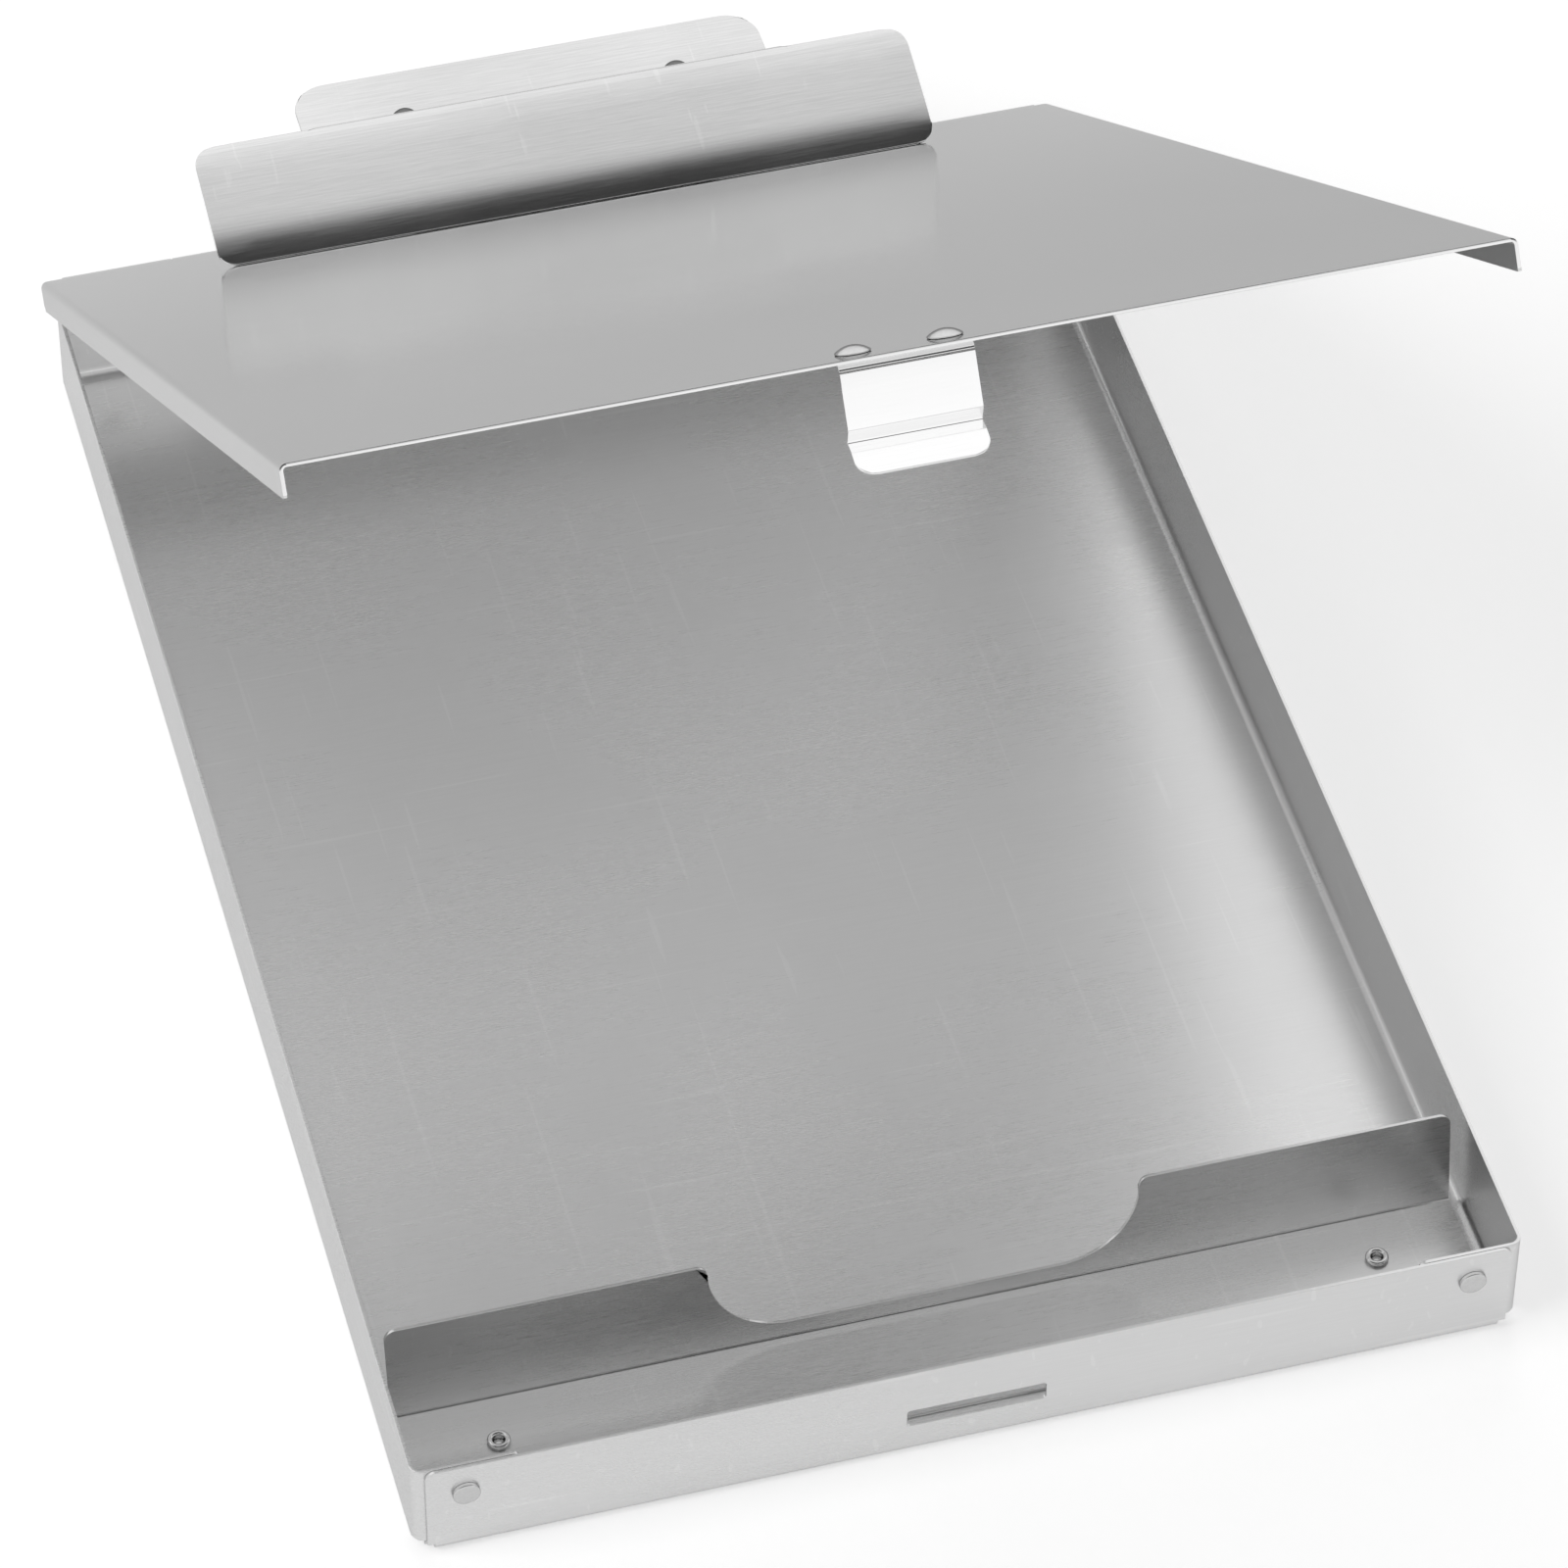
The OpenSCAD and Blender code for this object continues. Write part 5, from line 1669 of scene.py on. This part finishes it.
@dataclass(frozen=True)
class Lamp:
    """A large soft lamp that looks at the middle of the floor."""

    name: str
    place: Corner
    size: float
    power: float

    def hang(self) -> None:
        """Hangs the lamp."""
        data = bpy.data.lights.new(self.name, "AREA")
        data.shape = "SQUARE"
        data.size = self.size
        data.energy = self.power
        lamp = new_object(self.name, data)
        lamp.location = self.place
        lamp.visible_glossy = False
        lamp.rotation_mode = "QUATERNION"
        lamp.rotation_quaternion = (-Vector(self.place)).to_track_quat("-Z", "Y")


@dataclass
class Studio:
    """Floor, light and camera, in metres. A pair is where a change of tone starts and ends."""

    ceiling_height: Flat = (0.45, 0.62)
    ceiling_edge: Flat = (0.11, -0.05)
    ceiling_depth: float = 0.93
    direct_depth: float = 2.5
    rear_sky: Flat = (0.03, 0.45)
    rear_level: Flat = (0.86, 1.3)
    front_sky: Flat = (-0.15, -0.5)
    front_level: Flat = (0.0, 0.42)
    soft_light: float = 0.62
    floor_size: float = 6.0
    floor_drop: float = 0.0002
    floor_tone: float = 0.86
    # Painted light: the floor's glow in reflections is full up to 0.16 m behind the middle and gone by
    # 0.30 m; the second value is its strength.
    painted_glow_fade: Flat = (0.30, 0.16)
    painted_gloss_glow: float = 0.17
    floor_in_view: float = 0.36
    lamps: tuple[Lamp, ...] = (
        Lamp("lamp_left", (-1.5, -0.2, 1.6), 1.3, 16.0),
        Lamp("lamp_rear", (0.3, 1.9, 1.5), 1.6, 9.0),
    )
    target: Corner = (0.010755, 0.00966, 0.0)
    azimuth: float = 15.542
    elevation: float = 46.568
    roll: float = 0.447
    distance: float = 1.68107
    lens: float = 178.62
    sensor: float = 36.0
    clip_range: Flat = (0.01, 50.0)

    def build(self) -> None:
        """Sets the whole studio."""
        self._world()
        self._floor()
        for lamp in self.lamps:
            lamp.hang()
        self._camera()
        bpy.context.scene.view_settings.view_transform = "Standard"

    @staticmethod
    def _mirrored(g: ShaderGraph, ray: bpy.types.NodeOutputs) -> bpy.types.NodeSocket:
        """Tells whether a ray comes off a glossy or clear surface."""
        return g.math("MAXIMUM", ray["Is Glossy Ray"], ray["Is Transmission Ray"])

    def _world(self) -> None:
        """Makes the world: white to the camera, even soft light, and a sky with a dark ceiling.

        The sky shows in gloss alone, and its ceiling only in a first reflection.
        """
        world = bpy.data.worlds.new("studio_world")
        bpy.context.scene.world = world
        g = ShaderGraph.emptied(world)
        ray = g.add("LightPath").outputs
        way = g.add("SeparateXYZ", {0: g.add("TexCoord").outputs["Generated"]}).outputs
        high = g.ramp(way["Z"], *self.ceiling_height)
        over = g.math("MULTIPLY", high, g.ramp(way["Y"], *self.ceiling_edge))
        direct = g.math("LESS_THAN", ray["Ray Depth"], self.direct_depth)
        dark = g.math("MULTIPLY", g.math("MULTIPLY", over, direct), self.ceiling_depth)
        rear = g.ramp(way["Y"], *self.rear_sky, self.rear_level)
        sky = g.math("ADD", rear, g.ramp(way["Y"], *self.front_sky, self.front_level))
        bright = g.math("MULTIPLY", sky, g.math("SUBTRACT", 1.0, dark))
        white = g.add("Background", {"Strength": 1.0, "Color": grey(1.0)}).outputs[0]
        gloss = g.add("Background", {"Strength": bright}).outputs[0]
        soft = g.add("Background", {"Strength": self.soft_light}).outputs[0]
        unseen = g.add("MixShader", {0: self._mirrored(g, ray), 1: soft, 2: gloss}).outputs[0]
        shown = g.add("MixShader", {0: ray["Is Camera Ray"], 1: unseen, 2: white}).outputs[0]
        g.add("OutputWorld", {"Surface": shown})

    def _floor(self) -> None:
        """Makes the pale floor, which stays white and keeps the shadow, and glows in reflections with
        painted light that fades out behind the box.
        """
        bm = bmesh.new()
        bmesh.ops.create_grid(bm, x_segments=8, y_segments=8, size=self.floor_size)
        floor = as_object("studio_floor", bm)
        floor.location.z = -self.floor_drop
        mat = bpy.data.materials.new("floor_paper")
        g = ShaderGraph.emptied(mat)
        ray = g.add("LightPath").outputs
        place = g.add("SeparateXYZ", {0: g.add("TexCoord").outputs["Object"]}).outputs
        # Painted light: seen in reflections, the floor glows in front of the box and fades out behind it.
        # This leaves the rear floor darker where the open lid reflects it.
        near = g.math("MULTIPLY", g.ramp(place["Y"], *self.painted_glow_fade), self.painted_gloss_glow)
        in_gloss = g.math("MULTIPLY", self._mirrored(g, ray), near)
        in_view = g.math("MULTIPLY", ray["Is Camera Ray"], self.floor_in_view)
        glow = g.add("Emission", {"Strength": g.math("ADD", in_gloss, in_view)}).outputs[0]
        matte = g.add("BsdfDiffuse", {"Color": grey(self.floor_tone)}).outputs[0]
        both = g.add("AddShader", {0: matte, 1: glow}).outputs[0]
        g.add("OutputMaterial", {"Surface": both})
        floor.data.materials.append(mat)

    def _camera(self) -> None:
        """Puts the camera where the photograph was taken from."""
        az, el = math.radians(self.azimuth), math.radians(self.elevation)
        ahead = Vector((math.sin(az) * math.cos(el), math.cos(az) * math.cos(el), -math.sin(el)))
        right = Vector((math.cos(az), -math.sin(az), 0.0))
        up = right.cross(ahead)
        c, s = math.cos(math.radians(self.roll)), math.sin(math.radians(self.roll))
        right, up = right * c + up * s, -right * s + up * c
        data = bpy.data.cameras.new("photo_camera")
        data.lens = self.lens
        data.sensor_width = self.sensor
        data.clip_start, data.clip_end = self.clip_range
        camera = new_object("photo_camera", data)
        turn = Matrix((right, up, -ahead)).transposed().to_4x4()
        camera.matrix_world = Matrix.Translation(Vector(self.target) - ahead * self.distance) @ turn
        bpy.context.scene.camera = camera


# Main


def dress_nodes(finishes: Finishes) -> None:
    """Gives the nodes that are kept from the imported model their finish.

    Args:
        finishes: the materials.
    """
    kept = {
        "clip_base": "clip_inner",
        "clip_saddle": "clip_inner",
        "base_rivets": "rivet_bright",
        "shelf_rivets": "rivet_dark",
        "clip_pin": "pin_steel",
    }
    for name, finish in kept.items():
        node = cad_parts[name]
        finishes.dress(node, finish)
        weld = node.modifiers.new("joined_faces", "WELD")
        weld.merge_threshold = TINY
        soften(node, 0.1)
        LOG.info("%s keeps its shape", name)


def main() -> None:
    """Builds the box piece by piece."""
    logging.basicConfig(level=logging.INFO, format="%(name)s: %(message)s")
    finishes = Finishes()
    Studio().build()
    for assembly in (Tray, PenDivider, PianoHinge, Lid, Latch, PaperClip):
        assembly(finishes).build()
    dress_nodes(finishes)


if __name__ == "__main__":
    main()
